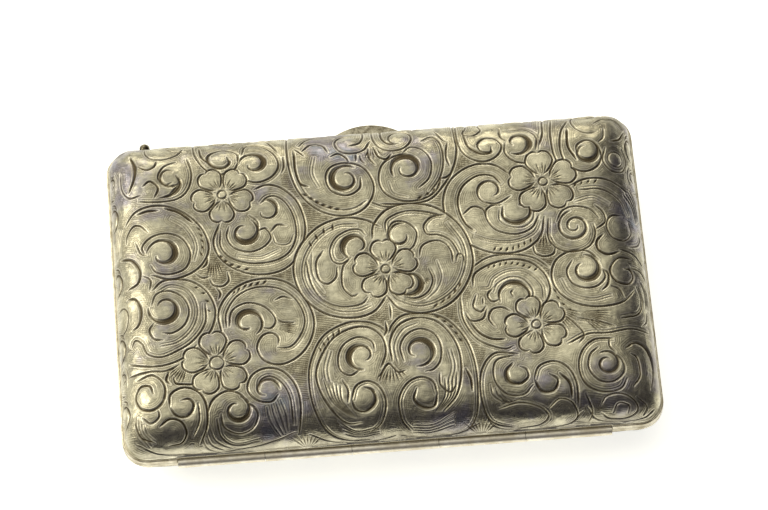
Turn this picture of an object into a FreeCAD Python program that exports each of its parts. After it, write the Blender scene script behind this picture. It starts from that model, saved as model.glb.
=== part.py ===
"""Silver business card case: two pillow-shaped pans joined by a five-knuckle hinge.

Frame, in millimetres: the origin is the centre of the flat panel that the closed case lies on.
+X runs along the hinge, +Y points from the hinge to the push-piece, +Z is up.
The base pan is below the mouth plane and the lid pan is its mirror image above it.
"""

import FreeCAD
import Part
import math
import os

V = FreeCAD.Vector
os.makedirs("parts", exist_ok=True)

# ---------------------------------------------------------------- pans
case_length = 95.0        # over the mouth wires, along X
case_width = 61.0         # over the mouth wires, along Y
half_depth = 8.0          # from the mouth plane to either panel
sheet = 0.7               # pressed silver sheet
mouth_gap = 0.10          # seam between the two halves when shut
corner_radius = 4.6       # outside the mouth wires, in plan
panel_radius = 3.1        # corners of the flat panel, in plan
wall_straight = 1.5       # upright part of each wall, from the mouth plane
shoulder_run = 9.0        # how far the rounded shoulder reaches in from the wall

# ---------------------------------------------------------------- mouth wires and inner lip
wire_proud = 0.35         # the mouth wire stands out of the wall by this
wire_height = 1.1
wire_round = 0.25
lip_thickness = 0.5       # the lip is what the lid closes over
lip_stand = 0.9           # above the mouth plane
lip_seat = 1.3            # soldered down inside the base wall by this much
lip_clearance = 0.15      # from the lid's wall
lip_stop_short = 6.0      # its ends stay this far in front of the back wall
lip_gap_clearance = 0.5   # its ends at the catch stay this far from the push-piece's slot

# ---------------------------------------------------------------- hinge
knuckle_count = 5
hinge_margin = 9.5        # from the end of the case to the end of the hinge
knuckle_gap = 0.10
knuckle_radius = 0.9
pin_radius = 0.45
pin_clearance = 0.05      # radial, in the lid's knuckles
gutter_clearance = 0.06   # round the knuckles, in the walls that they are let into
hinge_set_out = 0.08      # hinge axis behind the outer face of the wires
plug_length = 1.5
plug_end_gap = 0.1
bearer_depth = 1.4        # strip behind the knuckles, along Y
bearer_height = 1.4
bearer_past = 1.5         # it runs on past the last knuckle

# ---------------------------------------------------------------- catch
push_width = 14.2         # push-piece, where it leaves the wall
push_reach = 2.6          # how far it stands out of the wire
push_thickness = 0.6
push_drop = 0.25          # its top face below the mouth plane
push_travel = 0.9
push_clearance = 0.2      # to the ends of its slot
push_floor_clearance = 0.1
prong_gap = 5.6           # notch between its two prongs, round the catch plate
prong_web_clearance = 0.1   # from the catch plate to the closed end of the notch when pushed
bar_half_length = 6.5     # catch bar, soldered across the prongs
bar_thickness = 0.4
bar_height = 1.2
tooth_width = 3.2
tooth_height = 0.5
tooth_drop = 0.15         # top of the tooth below the top of the bar
hook_bite = 0.6           # how far tooth and hook overlap
plate_width = 4.2         # catch plate, on the lid
plate_thickness = 0.6
plate_inset = 0.25        # from its outer face to the inside of the wall
hook_reach = 0.8
hook_height = 0.6
hook_clearance = 0.1      # under the tooth
hook_tip_clearance = 0.25   # from the tip of the hook to the bar
foot_rise = 0.15          # from the mouth plane to the foot of the catch plate
foot_height = 1.25
spring_length = 34.0      # catch spring, along X
spring_thickness = 0.35
spring_height = 1.2
spring_drop = 0.3         # its top edge below the mouth plane
post_width = 3.0
rivet_radius = 0.35
rivet_head_radius = 0.6
rivet_head = 0.3
rivet_depth = 1.2         # how far its shank goes into the post

# ---------------------------------------------------------------- chain lug
lug_from_end = 7.1        # from the end of the case, on the front
lug_ball_radius = 1.0
lug_hole_radius = 0.42
lug_set_out = 1.15        # from the wire to the centre of the ball
lug_neck_radius = 0.4
lug_foot_length = 4.4
lug_foot_width = 0.8
lug_foot_thickness = 0.35
lug_foot_shift = 0.9      # the foot runs on past the ball, away from the corner
lug_drop = 0.5            # from the mouth plane to the centre of the ball

# ---------------------------------------------------------------- card retainer
rod_radius = 0.45
rod_clearance = 0.05      # radial, in the retainer's sleeves
rod_inset = 2.9           # from the inside of the back wall
rod_drop = 0.9            # below the mouth plane
sleeve_radius = 0.85
eye_width = 1.6
eye_clearance = 0.2       # between an eye and the end of a sleeve
rod_past = 0.4            # the rod's ends stand out of the eyes by this
retainer_half_length = 32.0
retainer_sheet = 0.45
retainer_arm_width = 4.0
retainer_bar_width = 6.0
retainer_reach = 31.0     # from the rod to the front edge of the bar
retainer_lift = 0.05      # underside above the mouth plane
retainer_corner = 2.4
coil_wire_radius = 0.14
coil_pitch = 0.33
coil_whole_turns = 4
coil_stand_off = 0.5      # from the arm to the nearest turn
coil_clearance = 0.02     # under the arm
coil_leg = 3.2            # the leg that lifts the arm
coil_leg_turn = 1.2       # its bent end, under the arm
coil_foot_gap = 0.05      # from the other leg's end to the shoulder it bears on

# ---------------------------------------------------------------- places that follow
mouth_z = half_depth
shoulder_rise = half_depth - wall_straight
wall_half_x = case_length / 2 - wire_proud
wall_half_y = case_width / 2 - wire_proud
wall_radius = corner_radius - wire_proud
inside_x = wall_half_x - sheet
inside_y = wall_half_y - sheet
inside_radius = wall_radius - sheet
front_y = case_width / 2
hinge_y = -case_width / 2 - hinge_set_out
hinge_half = case_length / 2 - hinge_margin
knuckle_length = 2 * hinge_half / knuckle_count
gutter_radius = knuckle_radius + gutter_clearance
seam = mouth_gap / 2
far = 2 * (case_length + case_width)


# ---------------------------------------------------------------- helpers
def save(name, *solids):
    """Writes one named piece; like pieces that share a node stay separate solids."""
    for solid in solids:
        if len(solid.Solids) != 1 or not solid.isValid():
            raise ValueError(name + " isn't one sound solid")
    made = solids[0].Solids[0] if len(solids) == 1 else Part.makeCompound([s.Solids[0] for s in solids])
    made.exportStep(os.path.join("parts", name + ".step"))
    print(name, len(solids), round(made.Volume, 3), "mm3")


def box(x, y, z):
    """A box from three pairs of limits, in either order."""
    low = [min(pair) for pair in (x, y, z)]
    high = [max(pair) for pair in (x, y, z)]
    return Part.makeBox(high[0] - low[0], high[1] - low[1], high[2] - low[2], V(*low))


def rod(radius, start, end):
    """A round rod from one point to another."""
    along = end - start
    return Part.makeCylinder(radius, along.Length, start, along)


def flipped(shape):
    """The lid's shape turned into the base's, about the mouth plane."""
    return shape.mirror(V(0, 0, mouth_z), V(0, 0, 1))


def other_end(shape):
    """The same shape at the other end of the case."""
    return shape.mirror(V(0, 0, 0), V(1, 0, 0))


def rounded_outline(half_x, half_y, radius, z):
    """A rectangle with round corners, as one closed wire."""
    turn = math.sqrt(0.5) * radius
    edges = []
    for sx, sy in ((1, 1), (-1, 1), (-1, -1), (1, -1)):
        centre = V(sx * (half_x - radius), sy * (half_y - radius), z)
        on_x = centre + V(sx * radius, 0, 0)
        on_y = centre + V(0, sy * radius, 0)
        middle = centre + V(sx * turn, sy * turn, 0)
        first, last = (on_x, on_y) if sx * sy > 0 else (on_y, on_x)
        if edges:
            edges.append(Part.LineSegment(edges[-1].Vertexes[-1].Point, first).toShape())
        edges.append(Part.Arc(first, middle, last).toShape())
    edges.append(Part.LineSegment(edges[-1].Vertexes[-1].Point, edges[0].Vertexes[0].Point).toShape())
    return Part.Wire(edges)


def rounded_block(inset, z):
    """An upright block inside the wall's outer face, its corners round about the same centres."""
    outline = rounded_outline(wall_half_x - inset, wall_half_y - inset, wall_radius - inset, z[0])
    return Part.Face(outline).extrude(V(0, 0, z[1] - z[0]))


def shoulder_outline(angle, depth):
    """One level of the shoulder's quarter ellipse, pushed in square to the surface by depth."""
    along = shoulder_run * math.sin(angle)
    up = shoulder_rise * math.cos(angle)
    share = 1 - math.cos(angle)
    push_in = depth * up / math.hypot(along, up)
    push_down = depth * along / math.hypot(along, up)
    inset = shoulder_run * share + push_in
    z = mouth_z + wall_straight + shoulder_rise * math.sin(angle) - push_down
    radius = wall_radius + (panel_radius - wall_radius) * share - push_in
    return rounded_outline(wall_half_x - inset, wall_half_y - inset, radius, z)


def pan_block(depth, low):
    """The lid's pan as a full block: upright wall, then the rounded shoulder up to the panel."""
    angles = [math.radians(a) for a in (0, 13, 27, 41, 55, 68, 80, 90)]
    shoulder = Part.makeLoft([shoulder_outline(a, depth) for a in angles], True, False)
    wall = rounded_block(depth, (low, mouth_z + wall_straight))
    return wall.fuse(shoulder).removeSplitter()


def on_hinge(x):
    """A point of the hinge axis."""
    return V(x, hinge_y, mouth_z)


# ---------------------------------------------------------------- pans
cavity = pan_block(sheet, mouth_z - 2 * seam)
gutter_half = hinge_half + knuckle_gap
gutter = rod(gutter_radius, on_hinge(-gutter_half), on_hinge(gutter_half))
slot_half = push_width / 2 + push_clearance
slot_floor = mouth_z - push_drop - push_thickness - push_floor_clearance
push_slot = box((-slot_half, slot_half), (0, far), (slot_floor, far))

lid_pan = pan_block(0.0, mouth_z + seam).cut(cavity).cut(gutter)
save("lid_shell", lid_pan)
save("base_shell", flipped(lid_pan).cut(push_slot))

# ---------------------------------------------------------------- mouth wires
wire_low = mouth_z + seam
wire_top = wire_low + wire_height
wire_outline = rounded_outline(case_length / 2, case_width / 2, corner_radius, wire_low)
wire = Part.Face(wire_outline).extrude(V(0, 0, wire_height))
outer_edges = [e for e in wire.Edges if min(v.Point.z for v in e.Vertexes) > wire_top - seam]
wire = wire.makeFillet(wire_round, outer_edges)
wire = wire.cut(rounded_block(0.0, (wire_low - 1, wire_top + 1)))
wire = wire.cut(box((-gutter_half, gutter_half), (-far, -wall_half_y), (wire_low, wire_top)))
save("lid_mouth_wire", wire)
save("base_mouth_wire", *flipped(wire).cut(push_slot).Solids)

# ---------------------------------------------------------------- inner lip, left and right of the catch
lip_low = mouth_z - seam - lip_seat
lip_top = mouth_z + lip_stand
lip_inset = sheet + lip_clearance
lip = rounded_block(sheet, (lip_low, mouth_z - seam)).fuse(rounded_block(lip_inset, (lip_low, lip_top)))
lip = lip.cut(rounded_block(lip_inset + lip_thickness, (lip_low - 1, lip_top + 1)))
catch_room = slot_half + lip_gap_clearance
lip_right = lip.common(box((catch_room, far), (-inside_y + lip_stop_short, far), (0, far)))
save("inner_lip_right", lip_right)
save("inner_lip_left", other_end(lip_right))

# ---------------------------------------------------------------- hinge
bearer_half = hinge_half + bearer_past
bearer = box((-bearer_half, bearer_half), (-inside_y, -inside_y + bearer_depth),
             (mouth_z + seam, mouth_z + seam + bearer_height)).common(cavity).cut(gutter)
save("lid_hinge_bearer", bearer)
save("base_hinge_bearer", flipped(bearer))


def knuckle(number, on_lid):
    """One hinge tube, with the solder between it and the half that it belongs to."""
    start = on_hinge(-hinge_half + number * knuckle_length + knuckle_gap / 2)
    end = start + V(knuckle_length - knuckle_gap, 0, 0)
    solder_room = box((start.x, end.x), (-front_y, 0), (mouth_z + seam, mouth_z + gutter_radius))
    if not on_lid:
        solder_room = flipped(solder_room)
    solder = rod(gutter_radius, start, end).common(solder_room)
    bore_radius = pin_radius + (pin_clearance if on_lid else 0.0)
    return rod(knuckle_radius, start, end).fuse(solder).cut(rod(bore_radius, start, end)).removeSplitter()


for number in range(knuckle_count):
    on_lid = number % 2 == 0
    owner = "lid" if on_lid else "base"
    save(owner + "_knuckle_" + str(number + 1), knuckle(number, on_lid))

tube_end = hinge_half - knuckle_gap / 2
pin_end = tube_end - plug_length - plug_end_gap
save("hinge_pin", rod(pin_radius, on_hinge(-pin_end), on_hinge(pin_end)))
plug = rod(pin_radius + pin_clearance, on_hinge(tube_end - plug_length), on_hinge(tube_end))
save("hinge_plug_right", plug)
save("hinge_plug_left", other_end(plug))

# ---------------------------------------------------------------- catch plate on the lid
plate_outer = inside_y - plate_inset
plate_inner = plate_outer - plate_thickness
hook_tip = plate_inner - hook_reach
push_top = mouth_z - push_drop
push_low = push_top - push_thickness
tooth_top = push_top - tooth_drop
hook_top = tooth_top - tooth_height - hook_clearance
hook_low = hook_top - hook_height
foot_low = mouth_z + foot_rise
foot_top = foot_low + foot_height
plate_x = (-plate_width / 2, plate_width / 2)
plate = box(plate_x, (plate_inner, plate_outer), (hook_low, foot_top))
hook = box(plate_x, (hook_tip, plate_inner), (hook_low, hook_top))
foot = box(plate_x, (plate_outer, inside_y), (foot_low, foot_top))
save("lid_catch_plate", plate.fuse([hook, foot]).removeSplitter())

# ---------------------------------------------------------------- push-piece and the catch bar behind it
bar_outer = hook_tip - hook_tip_clearance
bar_inner = bar_outer - bar_thickness
notch_end = plate_outer + push_travel + prong_web_clearance
prong_half = bar_half_length
slide_y = inside_y - push_travel
outline_points = [(-push_width / 2, front_y), (-push_width / 2, slide_y), (-prong_half, slide_y),
                  (-prong_half, bar_outer), (-prong_gap / 2, bar_outer), (-prong_gap / 2, notch_end),
                  (prong_gap / 2, notch_end), (prong_gap / 2, bar_outer), (prong_half, bar_outer),
                  (prong_half, slide_y), (push_width / 2, slide_y), (push_width / 2, front_y)]
corners = [V(x, y, push_low) for x, y in outline_points]
outline = [Part.LineSegment(a, b).toShape() for a, b in zip(corners, corners[1:])]
outline.append(Part.Arc(corners[-1], V(0, front_y + push_reach, push_low), corners[0]).toShape())
save("push_piece", Part.Face(Part.Wire(outline)).extrude(V(0, 0, push_thickness)))

bar = box((-bar_half_length, bar_half_length), (bar_inner, bar_outer), (push_top - bar_height, push_top))
tooth = box((-tooth_width / 2, tooth_width / 2), (bar_outer, hook_tip + hook_bite),
            (tooth_top - tooth_height, tooth_top))
save("catch_bar", bar.fuse(tooth).removeSplitter())

# ---------------------------------------------------------------- catch spring, its posts and rivets
spring_outer = bar_inner
spring_inner = spring_outer - spring_thickness
spring_z = (mouth_z - spring_drop - spring_height, mouth_z - spring_drop)
rivet_x = (spring_length - post_width) / 2
rivet_z = sum(spring_z) / 2
shank = rod(rivet_radius, V(rivet_x, spring_inner, rivet_z), V(rivet_x, spring_outer + rivet_depth, rivet_z))
head = rod(rivet_head_radius, V(rivet_x, spring_inner - rivet_head, rivet_z), V(rivet_x, spring_inner, rivet_z))
rivet = head.fuse(shank).removeSplitter()
post_end = inside_y - lip_clearance - lip_thickness
post = box((rivet_x - post_width / 2, rivet_x + post_width / 2), (spring_outer, post_end), spring_z).cut(shank)
strip = box((-spring_length / 2, spring_length / 2), (spring_inner, spring_outer), spring_z)
save("catch_spring", strip.cut(shank).cut(other_end(shank)))
save("catch_spring_posts", post, other_end(post))
save("catch_spring_rivets", rivet, other_end(rivet))

# ---------------------------------------------------------------- chain lug on the base's mouth wire
lug_x = -(case_length / 2 - lug_from_end)
ball_at = V(lug_x, front_y + lug_set_out, mouth_z - lug_drop)
ball = Part.makeSphere(lug_ball_radius, ball_at)
foot_x = lug_x + lug_foot_shift
lug_foot = box((foot_x - lug_foot_length / 2, foot_x + lug_foot_length / 2),
               (front_y, front_y + lug_foot_thickness),
               (ball_at.z - lug_foot_width / 2, ball_at.z + lug_foot_width / 2))
neck = rod(lug_neck_radius, V(lug_x, front_y, ball_at.z), ball_at)
lug_hole = rod(lug_hole_radius, ball_at - V(lug_ball_radius, 0, 0), ball_at + V(lug_ball_radius, 0, 0))
save("chain_lug", ball.fuse([lug_foot, neck]).cut(lug_hole).removeSplitter())

# ---------------------------------------------------------------- card retainer on its rod
rod_y = -inside_y + rod_inset
rod_z = mouth_z - rod_drop
eye_near = retainer_half_length + eye_clearance
eye_far = eye_near + eye_width
rod_end = eye_far + rod_past


def on_rod(x):
    """A point of the retainer's axis."""
    return V(x, rod_y, rod_z)


pivot = rod(rod_radius, on_rod(-rod_end), on_rod(rod_end))
save("retainer_rod", pivot)

eye_arm = box((eye_near, eye_far), (-inside_y + bearer_depth, rod_y),
              (rod_z - sleeve_radius, mouth_z - 2 * seam))
eye = eye_arm.fuse(rod(sleeve_radius, on_rod(eye_near), on_rod(eye_far))).cut(pivot).removeSplitter()
save("retainer_eyes", eye, other_end(eye))

frame_low = mouth_z + retainer_lift
frame_high = frame_low + retainer_sheet
bar_front = rod_y + retainer_reach
arm_inner = retainer_half_length - retainer_arm_width
cross_bar = box((-retainer_half_length, retainer_half_length),
                (bar_front - retainer_bar_width, bar_front), (frame_low, frame_high))
upright = [e for e in cross_bar.Edges if abs(e.Vertexes[0].Z - e.Vertexes[1].Z) > retainer_sheet / 2]
front_corners = [e for e in upright if e.Vertexes[0].Y > bar_front - retainer_corner]
cross_bar = cross_bar.makeFillet(retainer_corner, front_corners)
arm_x = (arm_inner, retainer_half_length)
arm = box(arm_x, (rod_y, bar_front - retainer_bar_width / 2), (frame_low, frame_high))
web = box(arm_x, (rod_y, rod_y + sleeve_radius), (rod_z, frame_high))
sleeve = rod(sleeve_radius, on_rod(arm_inner), on_rod(retainer_half_length))
half_frame = arm.fuse([web, sleeve])
sleeve_bore = rod(rod_radius + rod_clearance, on_rod(-rod_end), on_rod(rod_end))
retainer = cross_bar.fuse([half_frame, other_end(half_frame)]).cut(sleeve_bore)
save("card_retainer", retainer.removeSplitter())

# ---------------------------------------------------------------- torsion springs that lift the retainer
coil_radius = frame_low - coil_clearance - coil_wire_radius - rod_z
turns = coil_whole_turns + 0.25
coil_outer_x = -(arm_inner - coil_stand_off)
coil_inner_x = coil_outer_x + turns * coil_pitch
helix = Part.makeHelix(coil_pitch, turns * coil_pitch, coil_radius)
section = Part.Wire([Part.makeCircle(coil_wire_radius, V(coil_radius, 0, 0), V(0, 1, 0))])
coil = Part.Wire(helix.Edges).makePipeShell([section], True, True)
# The helix's own X, Y and Z become the case's back, up and left.
turned = FreeCAD.Matrix(0, 0, -1, coil_inner_x, -1, 0, 0, rod_y, 0, 1, 0, rod_z, 0, 0, 0, 1)
coil.Placement = FreeCAD.Placement(turned)
coil_back = V(coil_inner_x, rod_y - coil_radius, rod_z)
coil_top = V(coil_outer_x, rod_y, rod_z + coil_radius)
leg_bend = coil_top + V(0, coil_leg, 0)
leg_tip = leg_bend - V(coil_leg_turn, 0, 0)
clear_of_shell = flipped(pan_block(sheet + coil_foot_gap, mouth_z))
foot_leg = rod(coil_wire_radius, coil_back, V(coil_back.x, coil_back.y, 0)).common(clear_of_shell)
lift_leg = [rod(coil_wire_radius, coil_top, leg_bend), rod(coil_wire_radius, leg_bend, leg_tip)]
bends = [Part.makeSphere(coil_wire_radius, p) for p in (coil_back, coil_top, leg_bend)]
torsion_spring = coil.fuse([foot_leg] + lift_leg + bends)
save("retainer_springs", torsion_spring, other_end(torsion_spring))
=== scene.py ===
import bpy
import bmesh
import math
import numpy as np
from mathutils import Matrix, Vector


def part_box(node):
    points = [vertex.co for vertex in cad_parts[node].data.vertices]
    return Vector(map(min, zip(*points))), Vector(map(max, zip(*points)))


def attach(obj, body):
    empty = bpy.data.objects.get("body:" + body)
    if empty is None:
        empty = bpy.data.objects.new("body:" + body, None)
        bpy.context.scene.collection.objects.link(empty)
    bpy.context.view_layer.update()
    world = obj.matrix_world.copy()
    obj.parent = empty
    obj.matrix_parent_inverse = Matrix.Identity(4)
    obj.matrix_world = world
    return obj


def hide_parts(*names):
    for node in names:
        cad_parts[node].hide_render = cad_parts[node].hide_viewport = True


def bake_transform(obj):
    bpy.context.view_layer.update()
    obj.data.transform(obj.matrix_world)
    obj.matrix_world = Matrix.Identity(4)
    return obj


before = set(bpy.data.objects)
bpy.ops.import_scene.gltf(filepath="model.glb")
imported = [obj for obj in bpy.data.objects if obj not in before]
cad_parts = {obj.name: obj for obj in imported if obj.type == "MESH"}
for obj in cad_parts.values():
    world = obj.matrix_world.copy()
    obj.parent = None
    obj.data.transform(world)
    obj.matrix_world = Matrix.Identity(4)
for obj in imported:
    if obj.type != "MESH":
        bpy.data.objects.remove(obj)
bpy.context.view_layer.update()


# ---------------------------------------------------------------- camera
# A long lens 0.7 m from the case, looking down at it from a little left of square on and leaning slightly.
# It aims at the middle of the case, on the plane between its two halves.
mm = 0.001
half_gap = 0.05 * mm
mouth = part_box("base_shell")[1].z + half_gap     # plane between the two halves
look_down = math.radians(64.52)
look_round = math.radians(-4.14)
lean = math.radians(0.57)
distance = 0.70
lens = 184.5
shift_right = 0.0037
shift_up = 0.0442

back = Vector((
    math.sin(look_round) * math.cos(look_down),
    -math.cos(look_round) * math.cos(look_down),
    math.sin(look_down),
))
right = Vector((math.cos(look_round), math.sin(look_round), 0))
up = back.cross(right)
right_leant = right * math.cos(lean) - up * math.sin(lean)
up_leant = right * math.sin(lean) + up * math.cos(lean)

camera = bpy.data.objects.new("camera", bpy.data.cameras.new("camera"))
bpy.context.collection.objects.link(camera)
axes = Matrix((right_leant, up_leant, back)).transposed()
camera.matrix_world = Matrix.Translation(Vector((0, 0, mouth)) + back * distance) @ axes.to_4x4()
camera.data.lens = lens
camera.data.shift_x = shift_right
camera.data.shift_y = shift_up
bpy.context.scene.camera = camera


# ---------------------------------------------------------------- table
# A matt white table top that runs out of sight on every side. It is lit through a little from below, as a
# light table is, so it stays pale round the case.
def linear(code):
    """A linear colour with alpha, from its sRGB hex code."""
    parts = [int(code[i:i + 2], 16) / 255 for i in (1, 3, 5)]
    return [c / 12.92 if c <= 0.04045 else ((c + 0.055) / 1.055) ** 2.4 for c in parts] + [1.0]


def node(tree, kind, links=None, **settings):
    """Adds a node. Settings are its own values; links give a value or another node's output to an input."""
    made = tree.nodes.new("ShaderNode" + kind)
    for key, value in settings.items():
        setattr(made, key, value)
    for key, value in (links or {}).items():
        if isinstance(value, bpy.types.NodeSocket):
            tree.links.new(value, made.inputs[key])
        else:
            made.inputs[key].default_value = value
    return made


def blank(name):
    """A new material with an empty node tree."""
    material = bpy.data.materials.new(name)
    material.use_nodes = True
    material.node_tree.nodes.clear()
    return material, material.node_tree


def coated_white_paper():
    """Smooth white card: matt and nearly even, with a faint mottle about 33 mm across."""
    material, tree = blank("coated_white_paper")
    place = node(tree, "TexCoord")
    mottle = node(tree, "TexNoise", {"Vector": place.outputs["Object"], "Scale": 30.0, "Detail": 3.0})
    tone = node(tree, "Mix", {
        "Factor": mottle.outputs["Fac"],
        6: linear("#FAFAF7"),
        7: linear("#F6F6F2"),
    }, data_type="RGBA")
    surface = node(tree, "BsdfPrincipled", {
        "Base Color": tone.outputs[2],
        "Roughness": 0.85,
        "Specular IOR Level": 0.2,
        "Emission Color": linear("#FFFFFA"),
        "Emission Strength": 0.72,
    })
    node(tree, "OutputMaterial", {"Surface": surface.outputs[0]})
    return material


table_half = 3.0
table_top = -0.1 * mm
table_mesh = bpy.data.meshes.new("table_top")
table_mesh.from_pydata(
    [(-table_half, -table_half, table_top), (table_half, -table_half, table_top),
     (table_half, table_half, table_top), (-table_half, table_half, table_top)],
    [],
    [(0, 1, 2, 3)],
)
table = bpy.data.objects.new("table_top", table_mesh)
bpy.context.collection.objects.link(table)
table.data.materials.append(coated_white_paper())


# ---------------------------------------------------------------- light
# A pale studio that is brighter overhead and to the left, with one large soft box on the left and a wide low
# one behind the case. Its dim sides are what the steep shoulders mirror.
def softbox(name, place, width, height, watts, colour):
    """A large soft box that faces the case."""
    light = bpy.data.lights.new(name, "AREA")
    light.shape = "RECTANGLE"
    light.size = width
    light.size_y = height
    light.energy = watts
    light.color = linear(colour)[:3]
    box = bpy.data.objects.new(name, light)
    bpy.context.collection.objects.link(box)
    box.location = place
    box.rotation_euler = (-Vector(place)).to_track_quat("-Z", "Y").to_euler()


softbox("window_left", (-1.5, 0.35, 0.95), 1.1, 1.0, 13.0, "#FFFBEF")
softbox("box_behind", (-0.2, 1.5, 0.75), 1.4, 0.5, 7.0, "#FFF9EA")

room = bpy.data.worlds.new("room")
room.use_nodes = True
sky = room.node_tree
sky.nodes.clear()
direction = node(sky, "TexCoord")
toward_light = node(sky, "VectorMath", {0: direction.outputs["Generated"], 1: (-0.35, 0.45, 0.82)},
                    operation="DOT_PRODUCT")
brightness = node(sky, "ValToRGB", {"Fac": toward_light.outputs["Value"]})
ramp = brightness.color_ramp.elements
ramp[0].position = 0.0
ramp[0].color = linear("#35333D")
ramp[1].position = 0.97
ramp[1].color = linear("#FFFDF4")
for height, colour in ((0.35, "#57555E"), (0.70, "#B4B2AB")):
    ramp.new(height).color = linear(colour)
air = node(sky, "Background", {"Color": brightness.outputs["Color"], "Strength": 1.25})
node(sky, "OutputWorld", {"Surface": air.outputs[0]})
bpy.context.scene.world = room
bpy.context.scene.view_settings.view_transform = "Standard"


# ---------------------------------------------------------------- chased ornament of both pans
# Each pan is one sheet of silver, chased by hand with scrolls, deep wells, five flowers and fine bright cuts.
# The drawing is laid out flat, in mm, as the sheet would unroll over its shoulders. It holds how deep each
# place is cut, how far it is from a cut, where it is domed and where its ground is matted.
draw_step = 0.07
draw_half_x = 52.6
draw_half_y = 35.6
across = int(2 * draw_half_x / draw_step) + 1
upward = int(2 * draw_half_y / draw_step) + 1
uncut = 9.0            # stands for no cut near
cut = np.zeros((upward, across))
clear = np.full((upward, across), uncut)
dome = np.zeros((upward, across))
matted = np.zeros((upward, across))
worked_reach = 1.7     # how far beside a cut its distance is kept
tool_mark = 0.40       # from one pass of the graver to the next, in the wells
mark_low = 0.72        # the even part of a well's depth, and the part that comes and goes with the passes
mark_share = 0.28
well_width = 1.6       # the wells are wide and shallow, against what each line asks for
well_depth = 0.4
well_length = 1.25


def patch(x_low, x_high, y_low, y_high):
    """The part of the drawing inside these limits: its two slices and its x and y, in mm."""
    rows = slice(max(int((y_low + draw_half_y) / draw_step), 0),
                 min(int((y_high + draw_half_y) / draw_step) + 2, upward))
    columns = slice(max(int((x_low + draw_half_x) / draw_step), 0),
                    min(int((x_high + draw_half_x) / draw_step) + 2, across))
    x = (np.arange(across)[columns] * draw_step - draw_half_x)[None, :]
    y = (np.arange(upward)[rows] * draw_step - draw_half_y)[:, None]
    return rows, columns, x, y


def flowing(points, step=0.35):
    """A smooth run of points through a few given ones."""
    p = np.array(points, float)
    p = np.vstack([2 * p[0] - p[1], p, 2 * p[-1] - p[-2]])
    run = []
    for a, b, c, d in zip(p, p[1:], p[2:], p[3:]):
        count = max(2, int(np.hypot(*(c - b)) / step))
        t = (np.arange(count) / count)[:, None]
        run.append(0.5 * (2 * b + (c - a) * t + (2 * a - 5 * b + 4 * c - d) * t ** 2
                          + (3 * b - a - 3 * c + d) * t ** 3))
    return np.vstack(run + [p[-2:-1]])


def cut_line(points, half, depth, well=None, parts_metal=True):
    """Cuts one line that tapers at both ends, of this half width and depth.

    A well is a wide deep place on it: where along it, how much wider, how much deeper, over what share of it.
    parts_metal is off for the small cuts that the hatching doesn't follow."""
    points = np.asarray(points)
    lengths = np.hypot(*np.diff(points, axis=0).T)
    whole = lengths.sum()
    along = np.r_[0, np.cumsum(lengths)] / max(whole, 1e-6)
    taper = np.minimum(1, np.minimum(along, 1 - along) * whole / min(1.2, whole / 2.2) + 0.12)
    widths = half * taper ** 0.6
    depths = depth * taper ** 0.4
    if well:
        at, wider, deeper, spread = well
        swell = np.exp(-((along - at) / (well_length * spread)) ** 2)
        widths = widths + wider * well_width * swell
        depths = depths + deeper * well_depth * swell
    for (x0, y0), (x1, y1), w0, w1, d0, d1 in zip(points, points[1:], widths, widths[1:], depths, depths[1:]):
        reach = worked_reach if parts_metal else max(w0, w1) + 0.05
        rows, columns, x, y = patch(min(x0, x1) - reach, max(x0, x1) + reach,
                                    min(y0, y1) - reach, max(y0, y1) + reach)
        if not x.size or not y.size:
            continue
        run_x, run_y = x1 - x0, y1 - y0
        t = np.clip(((x - x0) * run_x + (y - y0) * run_y) / max(run_x ** 2 + run_y ** 2, 1e-9), 0, 1)
        off = np.hypot(x - x0 - t * run_x, y - y0 - t * run_y)
        width = w0 + (w1 - w0) * t
        shape = np.clip(1 - (off / width) ** 2, 0, 1) ** 1.2
        passes = mark_low + mark_share * np.cos(2 * math.pi * off / tool_mark)
        shape *= np.where(width > 0.3, passes, 1.0)
        np.maximum(cut[rows, columns], (d0 + (d1 - d0) * t) * shape, out=cut[rows, columns])
        if parts_metal:
            near = np.maximum(off - width * 0.6, 0)
            np.minimum(clear[rows, columns], near, out=clear[rows, columns])


def chase(*points, w=0.18, d=0.22, swell=None, twin=0.0):
    """A chased line through the points, with a finer line beside it if twin gives how far off."""
    run = flowing(points)
    cut_line(run, w, d, swell + (0.2,) if swell else None)
    if twin:
        turn = np.gradient(run, axis=0)
        side = np.stack([-turn[:, 1], turn[:, 0]], 1) / np.maximum(np.hypot(*turn.T), 1e-9)[:, None]
        cut_line(run + side * twin, 0.10, 0.11)


def spiral(x, y, r0, r1, start, stop, bend=1.0):
    """Points of a spiral, from radius r0 at the angle start to r1 at stop, in degrees."""
    t = np.linspace(0, 1, max(8, int(abs(stop - start) / 9)))
    angle = np.radians(start + (stop - start) * t)
    radius = r0 + (r1 - r0) * t ** bend
    return np.stack([x + radius * np.cos(angle), y + radius * np.sin(angle)], 1)


def boss(x, y, r, rise=0.16):
    """Domes a round place."""
    rows, columns, px, py = patch(x - r * 1.2, x + r * 1.2, y - r * 1.2, y + r * 1.2)
    shape = np.clip(1 - ((px - x) ** 2 + (py - y) ** 2) / (r * 1.05) ** 2, 0, 1) ** 0.7
    np.maximum(dome[rows, columns], rise * shape, out=dome[rows, columns])


def scroll(x, y, r, start, turn, grow=1.25, well=0.36, at=0.45, deep=0.26):
    """The rolled end of a scroll: a ball with a line that winds out of it and a deep well beside it."""
    winding = spiral(x, y, r * 0.62, r * grow + 0.35, start, start + turn, bend=0.8)
    cut_line(winding, 0.15, 0.2, (at, well, deep, 0.22))
    boss(x, y, r)


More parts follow.
